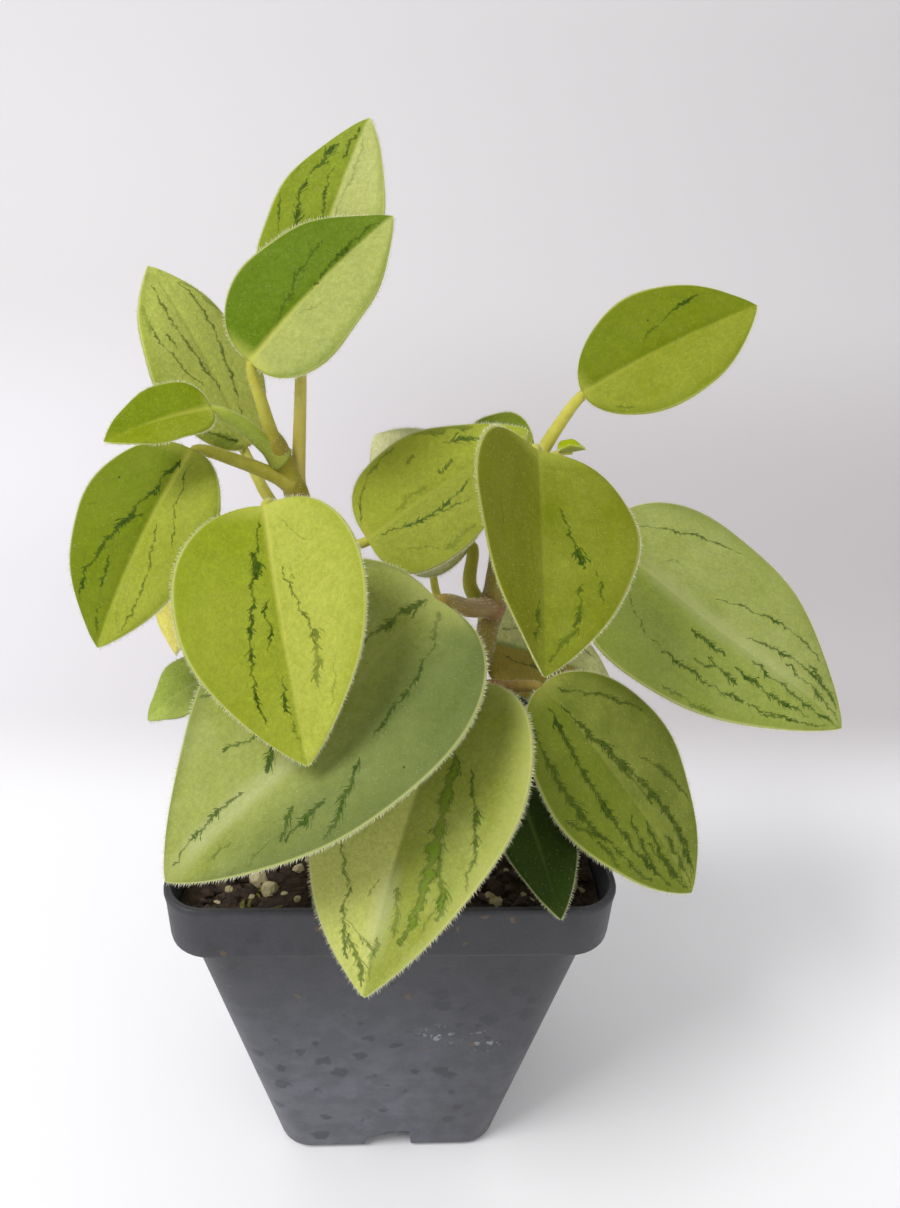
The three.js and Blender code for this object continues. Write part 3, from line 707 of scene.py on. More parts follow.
leaves = {
    "leaf_top_back": dict(
        grows=("left", 156), via=(-20, 4, 172), base=(-20, 11, 189), tip=(-7, 21, 226), width=28, roll=23,
        fold=5, vee=0.5, stalkSkin="pale", brownFoot=14, tone="lime", face="#a8ae6c", paintedLightAndShade="#7c8c10",
        shadeSide=1, streaks=[
            (66, 84, 62, 62, 120, 100, 90, 15, 2), (40, 64, 45, 68, 90, 100, 80, 25),
            (42, 73, 8, 32, 40, 90, 40, 30), (77, 94, 16, 35, 60, 90, 50, 30),
            (36, 54, 70, 92, 40, 90, 30, 20), (50, 89, -8, -28, 50, 35, 50, 30),
            (62, 72, 93, 93, 60, 50, 30, 20)]),
    "leaf_top_front": dict(
        grows=("left", 166), via=(-26.5, -3, 176), base=(-28, -4, 183), tip=(-2, 7, 209), width=27, roll=40,
        fold=6, vee=0.6, tone="lime", face="#9ca45c", paintedLightAndShade="#5c7600", haze=0, shadeSide=1, streaks=[
            (20, 70, 2, 55, 50, 60, 50, 25), (45, 93, 2, 20, 60, 80, 40, 35),
            (30, 46, -10, -30, 30, 30, 30, 30)]),
    "leaf_left_back": dict(
        grows=("left", 146), via=(-27, 6, 154), base=(-32.5, 14, 162.5), tip=(-52, 23, 197.5), width=29.5,
        roll=-11, fold=2, curl=0.12, shear=-0.05, belly=0.7, tone="lime", face="#bcc862", haze=0.35,
        streaks=[
            (30, 90, 2, 42, 70, 75, 50, 15), (56, 65, 38, 52, 60, 70, 50, 20),
            (36, 72, 30, 80, 50, 70, 40, 20), (16, 88, -20, -70, 80, 75, 50, 15, 6),
            (68, 88, -93, -80, 140, 45, 60, 20), (66, 82, 80, 85, 120, 35, 80, 30),
            (36, 46, 5, 8, 100, 30, 30, 20), (1, 24, 72, 78, 500, 50, 120, 0),
            (5, 20, 42, 92, 80, 90, 60, 10)]),
    "leaf_left_small": dict(
        grows=("left", 164), via=(-31, -4, 172), base=(-35, -7, 175), tip=(-53, -15, 170), width=14, roll=-37,
        fold=12, arch=0.05, stalk=1.6, tone="green", stalkSkin="green", face="#7c8a00", paintedLightAndShade="#748600",
        shadeSide=-1),
    "leaf_left_mid": dict(
        grows=("left", 159), via=(-31, -3, 164), base=(-39.5, -4.5, 166.5), tip=(-58, -16, 129.5), width=31,
        roll=-30, fold=14, arch=0.05, curl=0.17, shear=-0.05, belly=0.58, stalk=1.4, vee=0.5, tone="green",
        shadeSide=-1, streaks=[
            (6, 83, -8, -85, 90, 95, 60, 25, 16), (58, 73, -28, -30, 80, 90, 50, 25),
            (35, 43, -12, -30, 70, 90, 50, 10), (81, 93, -25, -30, 40, 70, 30, 40),
            (36, 43, -55, -85, 40, 40, 40, 35), (6, 43, 25, 55, 40, 70, 30, 30, -10),
            (36, 88, 15, 75, 60, 75, 40, 30), (78, 84, 25, 35, 70, 35, 50, 30)]),
    "leaf_front_left": dict(
        grows=("left", 149), via=(-23, -10, 157), base=(-24, -21, 161), tip=(-14.5, -48.5, 124.5), width=34,
        roll=26, fold=19, arch=0.03, notch=0.06, belly=0.56, tone="lime", shadeSide=-1, shadeFade=0.45,
        streaks=[
            (7, 84, -12, -62, 55, 100, 50, 20, 9), (19, 30, -20, -16, 130, 100, 90, 10),
            (37, 57, -10, -15, 40, 100, 40, 30), (66, 81, -10, -15, 50, 100, 50, 20),
            (82, 92, -12, -10, 30, 60, 30, 45), (26, 60, 8, 40, 45, 85, 50, 25),
            (53, 74, 38, 42, 150, 70, 130, 10), (9, 21, 25, 47, 30, 60, 30, 35),
            (26, 39, 20, 28, 30, 40, 30, 40), (64, 82, 62, 75, 35, 35, 30, 20)]),
    # The darker half of this leaf is a painted shadow, the shadow of leaf_front_left falling across it
    "leaf_low_left": dict(
        grows=("right", 133), via=(14, -12, 138), base=(7, -23, 144.5), tip=(-40, -49, 101), width=53,
        roll=-17, fold=3, arch=0.03, notch=0.08, curl=-0.06, stalk=1.9, sway=0.14, vee=0.5, cilia=1.15,
        tone="grey", face="#8f9844", paintedLightAndShade="#5f6d36", ribShare=0.4, shadeSide=1, shadeSoft=12, shadeFade=0.35,
        haze=0.25, brownFoot=34, stalkSkin="brown", ribBloom=(0.4, 1.05, 0.45), streaks=[
            (2, 23, -12, -14, 130, 85, 100, 15), (3, 11, 25, 35, 180, 60, 120, 20),
            (11, 39, 38, 48, 70, 85, 60, 30), (44, 63, 52, 94, 100, 100, 90, 15),
            (56, 70, 60, 75, 110, 100, 90, 15), (63, 71, 48, 74, 130, 100, 100, 10),
            (73, 79, 70, 77, 60, 70, 40, 20), (79, 86, 84, 90, 40, 50, 40, 40),
            (80, 87, 40, 50, 60, 50, 40, 20), (70, 96, 2, -20, 70, 90, 60, 25),
            (54, 63, -68, -92, 90, 85, 80, 25), (56, 68, -18, -44, 60, 80, 50, 30),
            (57, 63, -8, 6, 110, 95, 80, 10)]),
    "leaf_front_low": dict(
        grows=("right", 105), via=(14, -15, 122), base=(12, -25, 128), tip=(-5, -59, 84), width=42, roll=10,
        fold=5, arch=0.06, curl=0.08, shear=-0.2, notch=0.08, belly=0.6, stalk=1.6, cilia=1.15, tone="grey",
        face="#8d9536", paintedLightAndShade="#c2c670", coreShare=0.5, shadeSide=-1, shadeFade=0.3,
        ribBloom=(0.55, 0.95, 0.5), streaks=[
            (26, 84, 28, 56, 320, 75, 90, 5, -5), (57, 76, 42, 86, 160, 80, 90, 10),
            (31, 67, 45, 90, 80, 90, 60, 15), (56, 69, -60, -48, 70, 70, 60, 35),
            (68, 90, -48, -66, 90, 90, 70, 15), (82, 97, -50, -22, 120, 90, 90, 10),
            (78, 88, -55, 12, 80, 75, 80, 0), (67, 82, 12, 32, 110, 60, 90, 20),
            (65, 71, -12, -22, 40, 60, 30, 30), (82, 95, 2, 5, 100, 50, 70, 30),
            (72, 80, 70, 75, 50, 50, 40, 30)]),
    "leaf_dark_small": dict(
        grows=("right", 96), via=(19, -10, 100), base=(25.5, -19, 100), tip=(31, -48, 91), width=17, roll=-2,
        fold=6, arch=0.03, tone="dark"),
    "leaf_right_low": dict(
        grows=("right", 113), via=(23, -6, 117), base=(30, -12, 120.5), tip=(62.5, -30, 81.5), width=38,
        roll=20, fold=3, arch=0.06, curl=0.06, notch=0.06, belly=0.65, stalk=1.5, brownFoot=30,
        stalkSkin="brown", sway=-0.05, vee=0.2, tone="lime", face="#6c782a", paintedLightAndShade="#728022", rib="#a8aa50",
        ribShare=0.15, cilia=1.15, streak="#34460a", shadeSide=-1, streaks=[
            (10, 95, 0, 62, 150, 95, 80, 5, -12), (8, 84, -28, -62, 140, 100, 90, 5, 2),
            (62, 96, 25, 50, 90, 90, 80, 15), (70, 95, -30, -20, 80, 85, 80, 20),
            (11, 58, -78, -76, 150, 90, 100, 10, 5), (55, 68, -80, -90, 90, 90, 80, 15),
            (42, 60, -92, -66, 110, 90, 90, 10), (5, 36, 30, 86, 100, 80, 70, 10, 5),
            (60, 82, -70, -86, 90, 85, 90, 10), (45, 74, 36, 90, 80, 75, 60, 15),
            (55, 66, 62, 72, 70, 55, 50, 20), (58, 90, -22, -70, 110, 90, 90, 10),
            (64, 97, -8, -42, 120, 95, 90, 10), (74, 98, 5, 20, 100, 90, 80, 10),
            (30, 62, 2, 15, 70, 75, 60, 20)]),
    "leaf_right_big": dict(
        grows=("right", 134), via=(32, 6, 142), base=(43.5, 9, 146), tip=(95.5, -14, 112), width=46, roll=36,
        fold=3, arch=0.05, curl=0.16, stalk=1.5, sway=-0.09, vee=0.4, tone="grey", face="#8c9648",
        paintedLightAndShade="#88963c", shadeSide=-1, shadeFade=0.2, haze=0.3, ribBloom=(0.1, 0.9, 0.25), streak="#2c480c",
        streaks=[
            (7, 43, 45, 82, 50, 85, 40, 25), (42, 82, 15, 76, 50, 90, 40, 25),
            (57, 90, 2, 52, 60, 90, 50, 30), (41, 55, -28, -30, 90, 95, 70, 20),
            (47, 54, -53, -47, 90, 90, 80, 10), (33, 89, -60, -75, 60, 90, 60, 32),
            (59, 88, -34, -52, 100, 95, 70, 22), (44, 64, -90, -95, 60, 80, 50, 30),
            (62, 97, -15, -28, 70, 90, 70, 20), (72, 98, 12, 25, 60, 85, 60, 25),
            (50, 63, -42, -52, 80, 90, 90, 20), (74, 95, -78, -70, 50, 80, 50, 30),
            (20, 32, -40, -62, 40, 70, 40, 42), (78, 95, 45, 60, 90, 85, 60, 30),
            (22, 30, 20, 26, 50, 40, 40, 40)]),
    "leaf_centre_front": dict(
        grows=("right", 160), via=(26, -4, 168), base=(25, -12, 170), tip=(23.5, -48, 141.5), width=36.5,
        roll=-31, fold=19, arch=0.01, notch=0.07, vee=0, crease=1.6, shadeSoft=4, tone="green", ribShare=0.12,
        face="#737d0c", paintedLightAndShade="#757a10", shadeSide=-1, streaks=[
            (27, 54, 20, 43, 60, 90, 60, 25), (53, 68, 55, 80, 40, 80, 40, 35),
            (60, 79, 41, 56, 90, 80, 60, 20), (78, 94, 60, 25, 120, 60, 70, 20),
            (70, 89, -10, -30, 80, 70, 60, 25), (44, 52, 38, 40, 110, 90, 80, 10),
            (38, 50, -62, -66, 40, 40, 40, 35)]),
    "leaf_centre_left": dict(
        grows=("left", 140), via=(-13, -1, 145), base=(-6.5, -1, 148), tip=(25.5, 2.5, 171), width=29,
        roll=47, fold=2, arch=0.03, curl=0.08, belly=0.45, vee=0.5, tone="green", face="#929a36",
        paintedLightAndShade="#a0a838", shadeSide=1, streak="#304e18", streaks=[
            (8, 62, -10, -24, 60, 90, 50, 15, -13), (37, 57, -34, -47, 40, 80, 40, 25),
            (33, 52, -84, -84, 130, 50, 120, 25), (14, 33, -50, -80, 30, 50, 30, 40),
            (20, 42, 8, 12, 90, 35, 60, 20), (50, 60, 18, 24, 90, 80, 70, 20),
            (60, 80, 62, 48, 100, 85, 80, 20), (39, 45, 58, 64, 80, 70, 80, 20),
            (2, 39, 55, 92, 80, 70, 50, 15, 10), (50, 78, 93, 93, 300, 75, 50, 10)]),
    "leaf_right_top": dict(
        grows=("right", 160), via=(32, 10, 169), base=(38, 15, 176), tip=(73, 16, 195), width=27, roll=52,
        fold=4, arch=0.05, belly=0.69, stalk=1.4, vee=0.7, tone="green", face="#818b1e", paintedLightAndShade="#6c7a02",
        shadeSide=1, ribShare=0.35, streaks=[
            (38, 58, 22, 46, 40, 70, 30, 45), (56, 75, 44, 72, 60, 95, 40, 15),
            (13, 23, -80, -88, 40, 60, 30, 35)]),
    "leaf_low_small": dict(
        grows=("left", 124), via=(-28, 0, 121), base=(-37, -2, 118), tip=(-53.5, -5, 107), width=15.5,
        roll=-27, fold=10, arch=0.07, tone="dark", face="#a8b658", paintedLightAndShade="#9aaa4c", rib="#c4cc7c",
        shadeSide=-1),
    "leaf_yellow": dict(
        grows=("left", 140), via=(-34, 4, 143), base=(-44, 4, 139), tip=(-48, 2, 119), width=17, roll=-15,
        fold=6, arch=0.06, tone="yellow"),
    "leaf_back_pale": dict(
        grows=("right", 131), via=(15.5, 4, 136), base=(15, 6, 144), tip=(-6.5, 32.5, 161.5), width=32,
        roll=-77, fold=3, stalk=1.6, tone="grey", face="#dcdcae", under="#dcdcae"),
    "leaf_back_upper": dict(
        grows=("right", 154), via=(27, 10, 161), base=(28, 12, 165), tip=(9, 23, 153), width=22, roll=-50,
        fold=6, arch=0.05, tone="green", face="#607806", shadeSide=1, streaks=[
            (10, 70, 50, 80, 80, 80, 60, 30), (20, 80, -20, -40, 50, 80, 50, 30)]),
    # The pale face of this leaf is painted light, its upper half lit from behind, and its olive half is
    # painted shade
    "leaf_right_back": dict(
        grows=("right", 120), via=(20, 6, 122), base=(21, 10, 120), tip=(53, 16, 106), width=29, roll=35,
        fold=8, notch=0.15, belly=0.42, tone="dark", shadeSide=-1, face="#d4d69c", paintedLightAndShade="#98863a", streaks=[
            (10, 80, 30, 60, 80, 70, 60, 30), (10, 90, -30, -40, 80, 70, 60, 30)]),
    "leaf_new": dict(
        grows=("right", 162), base=(32, 5, 166), tip=(38.5, 5, 166.5), width=6, roll=0, fold=25, arch=0.05,
        stalk=0.9, tone="green", face="#96a400", paintedLightAndShade="#96a400", bloom="#a8b40c", rim="#b0bc30"),
    "leaf_back_low": dict(
        grows=("right", 120), via=(9, 16, 129), base=(8, 25, 140), tip=(8, 47, 144), width=17, roll=10,
        fold=8, arch=0.05, stalk=1, tone="dark", face="#7c8a30", paintedLightAndShade="#66761c", streaks=[
            (15, 75, 30, 50, 60, 80, 50, 30)]),
}


# A blade's form: a point of its upper, lower or middle surface at u along it and s across it
class Blade:
    def __init__(self, leaf, seed):
        self.leaf = leaf
        self.base, self.tip = np.array(leaf["base"], float), np.array(leaf["tip"], float)
        self.length = np.linalg.norm(self.tip - self.base)
        self.along = (self.tip - self.base) / self.length
        level = unit(np.array([-self.along[1], self.along[0], 0.0]))
        above = np.cross(self.along, level)
        turn = math.radians(leaf["roll"])
        self.across = level * math.cos(turn) + above * math.sin(turn)
        self.face = above * math.cos(turn) - level * math.sin(turn)
        self.half = leaf["width"] / 2 - leafShape["edgeRoom"]
        self.phase = np.random.default_rng(seed).uniform(0, 6.28, 5)

    def outline(self, u):
        belly, point = self.leaf["belly"], leafShape["point"]
        widest = belly / (belly + point)
        return u ** belly * (1 - u) ** point / (widest ** belly * (1 - widest) ** point)

    def sway(self, u):
        return self.leaf["sway"] * np.sin(math.pi * u) ** 2 * (0.6 + 0.6 * u)

    def surface(self, u, s, side):
        leaf, shape = self.leaf, leafShape
        u, s = np.asarray(u, float), np.asarray(s, float)
        half = self.half * self.outline(u)
        x = half * s
        reach = self.length - shape["tipRoom"]
        lobe = leaf["notch"] * shape["lobe"] * u ** 0.6 * (1 - u) ** 4
        y = reach * (u - lobe * np.abs(s)) + leaf["shear"] * x
        fromRib = x - half * self.sway(u)
        crease = math.tan(math.radians(leaf["fold"])) * (np.hypot(fromRib, leaf["crease"]) - leaf["crease"])
        z = 4 * leaf["arch"] * y * (1 - y / reach) + crease - leaf["curl"] * x * x / self.half
        full = np.sin(math.pi * u.clip(0, 1)) ** 0.5
        z += leaf["vee"] * (1 - np.exp(-np.abs(fromRib) / shape["veeReach"])) * full
        small = min(1.0, leaf["width"] / 20)
        (up, aside), (marginUp, marginAside) = shape["waves"], shape["marginWaves"]
        z += shape["wave"] * small * np.sin(up * u + aside * s + self.phase[0]) * np.abs(s) * full
        rise = np.sin(marginUp * u + marginAside * np.sign(s) + self.phase[1])
        z += shape["marginWave"] * small * np.abs(s) ** 3 * rise * full
        for at in shape["veinsAt"]:
            vein = np.exp(-((np.abs(s) - at) * half / shape["veinWidth"]) ** 2)
            z -= shape["veinDepth"] * vein * full * (half > 3)
        start = np.minimum(1, u * 14)
        rounded = (1 - np.abs(s).clip(0, 1) ** shape["edgeRound"]) ** 0.5
        body = shape["thick"] * rounded * (0.7 + 0.3 * (1 - u))
        body = body * np.minimum(1, half / 2)
        if side > 0:
            groove = np.exp(-(fromRib / shape["grooveWidth"]) ** 2) * (1 - u) ** 0.5 * start
            z = z + body - shape["grooveDepth"] * groove
        if side < 0:
            ridge = np.exp(-(fromRib / shape["ribWidth"]) ** 2)
            z = z - body - shape["ribDepth"] * ridge * (1 - u) ** 0.8 * start
        y, x, z = y[..., None], x[..., None], z[..., None]
        return self.base + self.along * y + self.across * x + self.face * z


def bladeMesh(blade):
    rows = max(14, round(blade.length / 1.05))
    columns = 2 * max(7, round(blade.leaf["width"] * 0.42))
    u = (1 - np.cos(math.pi * np.arange(rows + 1) / rows)) / 2
    t = 2 * np.arange(columns + 1) / columns - 1
    s = t - 0.6 * np.sin(2 * math.pi * t) / (2 * math.pi)
    U, S = np.meshgrid(u, s, indexing="ij")
    swayed = S + blade.sway(U) * (1 - S * S)
    top, under = (blade.surface(U, swayed, side) for side in (1, -1))
    points, tops, places, grid = [], [], [], {1: {}, -1: {}}
    for i in range(rows + 1):
        for j in range(columns + 1):
            atEnd, atSide = i in (0, rows), j in (0, columns)
            for side, sheet in ((1, top), (-1, under)):
                if atEnd and (j or side < 0) or atSide and side < 0:
                    grid[side][i, j] = grid[1][i, 0 if atEnd else j]
                    continue
                grid[side][i, j] = len(points)
                onEdge = atEnd or atSide
                points.append((top[i, j] + under[i, j]) / 2 if onEdge else sheet[i, j])
                tops.append(0.5 if onEdge else (1.0 if side > 0 else 0.0))
                places.append((0.0 if atEnd else swayed[i, j], u[i], blade.half * blade.outline(u[i])))
    faces = []
    for i in range(rows):
        for j in range(columns):
            for side in (1, -1):
                a, b, c, d = (grid[side][cell] for cell in ((i, j), (i, j + 1), (i + 1, j + 1), (i + 1, j)))
                corners = (a, d, c, b) if side > 0 else (a, b, c, d)
                faces.append(tuple(dict.fromkeys(corners)))
    return np.array(points), faces, np.array(tops), np.array(places)


# Colours and finish shared by all leaves. A lift brightens the colour where its pattern shows. Patterns go by
# scale, contrast and seed, and dots by scale, size and share.
leafFinish = {
    "dull": "#d6dcb4", "velvetLift": (0.09, 0.09, 0.06, 1), "fleckLift": (0.1, 0.1, 0.08, 1),
    "ribBloom": "#c8cc98", "core": "#82a614", "dots": "#20260c",
    "grain": (1.2, 4.0, 1.0), "velvet": (2.4, 5.0, 2.0), "flecks": (0.55, 3.0, 7.0), "patches": (0.09, 2.4),
    "patchShare": 0.25, "dullShare": 0.42, "dotPattern": (0.22, 0.06, 0.35), "dotShare": 0.85,
    # Where and how strongly the margin is darkened: painted shade on the rounded edge
    "baseFade": (0.0, 0.09, 0.55, 0.0), "paintedMarginShade": (0.72, 1.0, 0.0, 0.4), "roughness": (0.15, 0.56),
    "bump": (0.5, 0.12),
    "shader": {
        "Specular IOR Level": 0.12, "Sheen Weight": 0.02, "Sheen Roughness": 0.4, "Sheen Tint": "#e6e9a8",
        "Subsurface Weight": 0.15, "Subsurface Radius": (0.0015, 0.002, 0.0004),
    },
}


def leafSkin(name, leaf, length):
    look = leafFinish
    material, shader, place = newMaterial(name)
    onLeaf = attribute(place, "leafPlace")["Vector"]
    upper, ribSide = (attribute(place, key)["Fac"] for key in ("upperSide", "fromRib"))
    across, along, half = split(onLeaf)
    offRib, offMiddle = maths("ABSOLUTE", ribSide), maths("ABSOLUTE", across)
    patches = mottled(place, *look["patches"], len(name))
    grain, velvet, flecks = (mottled(place, *look[key]) for key in ("grain", "velvet", "flecks"))
    colour = mixColour(times(patches, look["patchShare"]), leaf["face"], leaf["bloom"])
    # Painted light and shade: one half of the fold takes the second tone colour, darker or lighter for how
    # the light falls on it
    if leaf["shadeSide"]:
        shaded = smoothStep(times(ribSide, leaf["shadeSide"]), -0.3, leaf["shadeSoft"])
        fade = minus(1.0, times(along, leaf["shadeFade"]))
        colour = mixColour(times(shaded, fade), colour, leaf["paintedLightAndShade"])
    haze = times(timesPlus(grain, 0.5, 0.5), leaf["haze"])
    colour = mixColour(times(haze, patches), colour, leaf["bloom"])
    colour = mixColour(times(grain, look["dullShare"]), colour, look["dull"], "MULTIPLY")
    colour = mixColour(velvet, colour, look["velvetLift"], "DODGE")
    colour = mixColour(flecks, colour, look["fleckLift"], "DODGE")
    ribMask = smoothStep(offRib, 0.0, timesPlus(minus(1.0, along), 0.9, 0.25), 1.0, 0.0)
    ribFade = smoothStep(along, 0.0, 0.9, leaf["ribShare"], 0.05)
    colour = mixColour(times(ribMask, ribFade), colour, leaf["rib"])
    colour = mixColour(smoothStep(along, *look["baseFade"]), colour, leaf["rib"])
    if leaf["ribBloom"]:
        start, end, share = leaf["ribBloom"]
        stretch = times(smoothStep(along, start, start + 0.15), smoothStep(along, end - 0.2, end, 1.0, 0.0))
        near = smoothStep(offRib, 0.3, 3.6, 1.0, 0.0)
        cloud = times(times(stretch, near), timesPlus(grain, 0.5, 0.6))
        colour = mixColour(times(cloud, share), colour, look["ribBloom"])
    for k, row in enumerate(leaf["streaks"]):
        start, end, begin, finish, width, strength, feather, breaks, *bend = (value / 100 for value in row)
        marks = useGroup(
            streak, onLeaf, Length=length, Start=start, End=end, From=begin, To=finish, Bend=sum(bend),
            Width=width, Feather=feather, Breaks=breaks, Seed=k + 1.37 * len(name))
        colour = mixColour(times(marks["Mask"], times(upper, strength)), colour, leaf["streak"])
        colour = mixColour(times(marks["Core"], times(upper, leaf["coreShare"])), colour, look["core"])
    dots = times(speckled(place, *look["dotPattern"]), times(upper, look["dotShare"]))
    colour = mixColour(dots, colour, look["dots"])
    below = mixColour(times(ribMask, 0.5), leaf["under"], leaf["rib"])
    colour = mixColour(smoothStep(upper, 0.2, 0.45), below, colour)
    # Painted shade: the colour darkens towards the margin, as on a rounded edge turned away from the light
    colour = mixColour(smoothStep(offMiddle, *look["paintedMarginShade"]), colour, leaf["paintedLightAndShade"])
    rimWidth = maths("MINIMUM", maths("MAXIMUM", times(half, 0.05), 0.3), 0.75)
    rim = smoothStep(times(minus(1.0, offMiddle), half), 0.1, rimWidth, 0.75, 0.0)
    colour = mixColour(rim, colour, leaf["rim"])
    relief = timesPlus(grain, 0.7, times(velvet, 0.5))
    rough = timesPlus(grain, *look["roughness"])
    setSockets(shader, {"Base Color": colour, "Roughness": rough, "Normal": bump(relief, *look["bump"])})
    setSockets(shader, look["shader"])
    return material


# Long hairs round the margin and short ones over both faces and the stalk: their sizes in millimetres, how
# many there are on a square millimetre of a face and on a millimetre of a stalk
leafHair = {
    "gap": 0.3, "long": (0.45, 0.95), "longThick": 0.085, "short": (0.25, 0.5), "shortThick": 0.021,
    "perArea": 1.1, "filled": 0.7, "perStalk": 14,
    "onStalk": {"lengths": (0.3, 0.75), "thick": 0.035, "sink": 0.1},
}


def leafHairs(blade, rng):
    look = leafHair
    roots, directions, lengths = [], [], []
    for edge in (-1, 1):
        u = np.linspace(0.004, 0.996, 900)
        rim = (blade.surface(u, np.full_like(u, edge), 1) + blade.surface(u, np.full_like(u, edge), -1)) / 2
        inner = blade.surface(u, np.full_like(u, edge * 0.93), 0)
        run = pathLengths(rim)
        count = int(run[-1] / look["gap"])
        at = (np.arange(count) + rng.uniform(0.1, 0.9, count)) * look["gap"]
        spots, inside = sampled(at, run, rim), sampled(at, run, inner)
        forward = unit(sampled(at, run, np.gradient(rim, run, axis=0)))
        outward = spots - inside
        outward = unit(outward - forward * (outward * forward).sum(1, keepdims=True))
        way = unit(outward + 0.25 * forward + 0.18 * rng.normal(size=spots.shape) + 0.12 * blade.face)
        roots.append(spots - outward * 0.12)
        directions.append(way)
        lengths.append(rng.uniform(*look["long"], count) * blade.leaf["cilia"])
    margin = hairs(*(np.concatenate(rows) for rows in (roots, directions, lengths)), look["longThick"], rng)
    count = int(look["filled"] * blade.leaf["width"] * blade.length * look["perArea"])
    u, s = rng.uniform(0.03, 0.97, 2 * count), rng.uniform(-0.97, 0.97, 2 * count)
    kept = rng.uniform(0, 1.05, 2 * count) < blade.outline(u)
    u, s = u[kept][:count], s[kept][:count]
    side = np.where(rng.random(len(u)) < 0.6, 1, -1)[:, None]
    spots = np.where(side > 0, blade.surface(u, s, 1), blade.surface(u, s, -1))
    way = unit(blade.face * side + 0.45 * blade.along + 0.4 * rng.normal(size=spots.shape))
    lengths = rng.uniform(*look["short"], len(u))
    fuzz = hairs(spots - blade.face * side * 0.05, way, lengths, look["shortThick"], rng)
    return joined(margin, fuzz)


def joined(first, second):
    return np.concatenate([first[0], second[0]]), np.concatenate([first[1], second[1] + len(first[0])])


def pieceName(node):
    words = node.split("_")[1:]
    return words[0] + "".join(word.capitalize() for word in words[1:]) + "Leaf"


# The leaf's bake map: the blade's upper face on the left half, its lower face on the right half, and above
# them a strip with the stalk, unrolled once. One place for each corner of each face, in the faces' order.
def addBakeMap(piece, faces, places, blade, steps, sides):
    room, bladeWidth, bladeLength, stripLength, low, high = 0.02, 0.23, 0.84, 0.94, 0.88, 0.98
    across = bladeWidth * places[:, 0] * places[:, 2] / blade.half
    along = room + bladeLength * places[:, 1]
    found = [(across[i] + (0.75 if k % 2 else 0.25), along[i]) for k, face in enumerate(faces) for i in face]
    strips = [[low + (high - low) * turn / sides for turn in (i, i + 1)] for i in range(sides)]
    for near, far in zip(steps, steps[1:]):
        here, there = room + stripLength * near, room + stripLength * far
        for start, end in strips:
            found += [(here, start), (here, end), (there, end), (there, start)]
    for cap in (0.005, 0.98):
        for start, end in strips:
            found += [(cap, end), (cap, start), (cap + 0.01, (start + end) / 2)]
    layer = piece.data.uv_layers.new(name="OFBake")
    layer.data.foreach_set("uv", np.asarray(found, np.float32).ravel())


def makeLeaf(node, leaf, seed):
    rng = np.random.default_rng(seed)
    blade = Blade(leaf, seed)
    name, slotName = pieceName(node), "leaf_" + leaf["tone"]
    points, faces, tops, places = bladeMesh(blade)
    fromRib = (places[:, 0] - blade.sway(places[:, 1])) * places[:, 2]
    stemPoints = stemLine(leaf["grows"][0])
    foot = stemPoints[np.abs(stemPoints[:, 2] - leaf["grows"][1]).argmin()]
    base = blade.base - blade.face * max(leafShape["stalkSink"], 0.8 * leaf["stalk"] - 0.1)
    route = [foot, base, base + blade.along * 3]
    if leaf["via"]:
        route = [foot, leaf["via"], *route[1:], base + blade.along * 0.2 * blade.length]
    line = evenly(catmullRom(route, 24), 64)
    steps = pathLengths(line)
    toBase = steps / steps[np.linalg.norm(line - base, axis=1).argmin()]
    (thick, taper), (start, fade, end), (swell, reach) = (
        leafShape[key] for key in ("stalkTaper", "inBlade", "footSwell"))
    inBlade = start * np.exp(-((toBase - 1) * steps[-1] / fade)) + end
    radii = leaf["stalk"] * np.where(toBase < 1, thick - taper * toBase, inBlade)
    radii = radii * (1 + swell * np.exp(-(steps / reach) ** 2))
    sides = leafShape["stalkSides"]
    stalkPoints, stalkFaces, spokes = tube(line, radii, sides)
    offset = len(points)
    allFaces = faces + [tuple(offset + i for i in face) for face in stalkFaces]
    slots = [0] * len(faces) + [1] * len(stalkFaces)
    skins = [leafSkin(name + "Skin", leaf, float(blade.length)), stalkSkins[leaf["stalkSkin"]]]
    piece = meshObject(name, np.concatenate([points, stalkPoints]), allFaces, skins, slots)
    for label, values in ("leafPlace", places), ("upperSide", tops), ("fromRib", fromRib):
        addAttribute(piece, label, np.concatenate([values, np.zeros((len(stalkPoints), *values.shape[1:]))]))
    nearStem = np.exp(-(np.repeat(steps, sides) / leaf["brownFoot"]) ** 2)
    addAttribute(piece, "nearStem", np.concatenate([np.zeros(offset), nearStem, [1.0, 0.0]]))
    addBakeMap(piece, faces, places, blade, steps / steps[-1], sides)
    dress(piece, slotName, node)
    onBlade = leafHairs(blade, rng)
    chosen = rng.integers(0, len(spokes) * 7 // 8, int(steps[-1] * leafHair["perStalk"]))
    onStalk = tubeHairs(stalkPoints, spokes, chosen, leafHair["onStalk"], rng)
    addHairs(name, slotName, joined(onBlade, onStalk))


for k, (leafNode, own) in enumerate(leaves.items()):
    makeLeaf(leafNode, {**usualLeaf, **dict(zip(toneKeys, leafTones[own["tone"]])), **own}, 100 + k)
print("leaves made:", len(leaves))


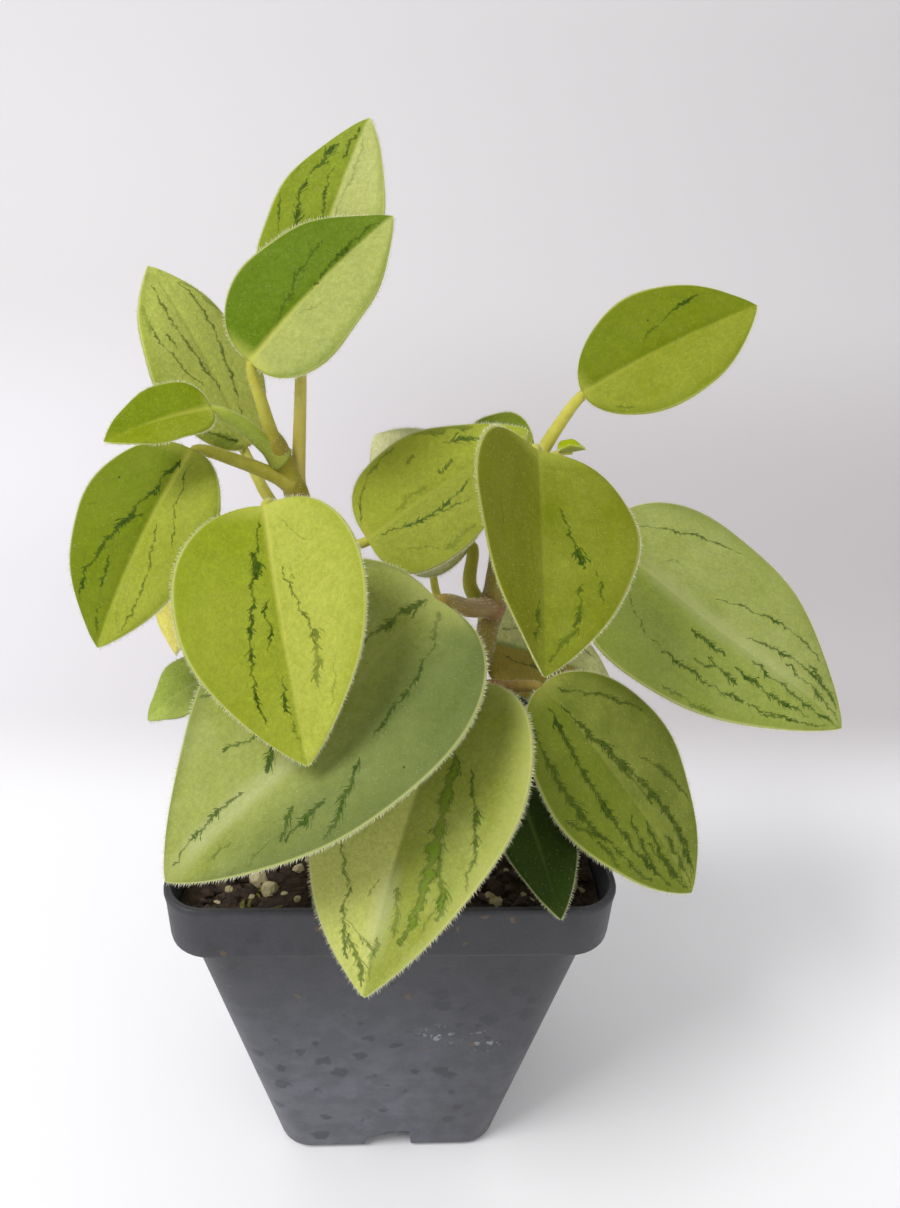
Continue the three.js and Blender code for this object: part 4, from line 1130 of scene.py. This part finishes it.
# Floor, backdrop and light
studio = {
    "floor": "#fbfbfc", "paintedLightLowWallLeft": "#f3f1f5", "paintedShadeLowWallRight": "#cecacb", "wall": "#e3e1e2",
    "reach": 3000.0, "wallAt": 700.0, "coveRadius": 350.0, "coveSteps": 24, "wallHeight": 2200.0,
    "worldColour": "#f1f0f2", "worldStrength": 0.62, "aim": (0, 0, 110),
    "keyPlace": (-820, -560, 1300), "keySize": 720, "keyPower": 15.6,
    "fillPlace": (420, -620, 420), "fillSize": 600, "fillPower": 0.5,
}


def makeStage():
    reach, wallAt, cove, steps = (studio[key] for key in ("reach", "wallAt", "coveRadius", "coveSteps"))
    profile = [(-reach, 0.0)]
    for step in range(steps + 1):
        angle = step / steps * math.pi / 2
        profile.append((wallAt - cove + cove * math.sin(angle), cove - cove * math.cos(angle)))
    profile.append((wallAt, studio["wallHeight"]))
    points = [(x, y, z) for y, z in profile for x in (-reach, reach)]
    faces = [(2 * i, 2 * i + 1, 2 * i + 3, 2 * i + 2) for i in range(len(profile) - 1)]
    material, shader, place = newMaterial("paleFloor")
    side, back, height = split(place)
    # Painted light and shade low on the backdrop: lighter on the left, towards the key light, and darker on
    # the right
    paintedLowWallLightAndShade = mixColour(smoothStep(side, -300.0, 150.0), studio["paintedLightLowWallLeft"], studio["paintedShadeLowWallRight"])
    colour = mixColour(smoothStep(back, 100.0, 190.0), studio["floor"], paintedLowWallLightAndShade)
    colour = mixColour(smoothStep(height, 0.0, 150.0), colour, studio["wall"])
    setSockets(shader, {"Base Color": colour, "Roughness": 0.6, "Specular IOR Level": 0.3})
    meshObject("paleSweep", points, faces, [material])


def addLight(kind):
    data = bpy.data.lights.new(kind + "Light", "AREA")
    data.shape = "DISK"
    data.size = studio[kind + "Size"] * mm
    data.energy = studio[kind + "Power"]
    light = bpy.data.objects.new(kind + "Light", data)
    light.location = Vector(studio[kind + "Place"]) * mm
    light.rotation_mode = "QUATERNION"
    light.rotation_quaternion = (Vector(studio["aim"]) * mm - light.location).to_track_quat("-Z", "Y")
    bpy.context.scene.collection.objects.link(light)


def makeLight():
    world = bpy.data.worlds.new("softRoom")
    world.use_nodes = True
    sky = {"Color": studio["worldColour"], "Strength": studio["worldStrength"]}
    setSockets(world.node_tree.nodes["Background"], sky)
    bpy.context.scene.world = world
    addLight("key")
    addLight("fill")
    bpy.context.scene.view_settings.view_transform = "Standard"


makeStage()
makeLight()
print("stage and light made")
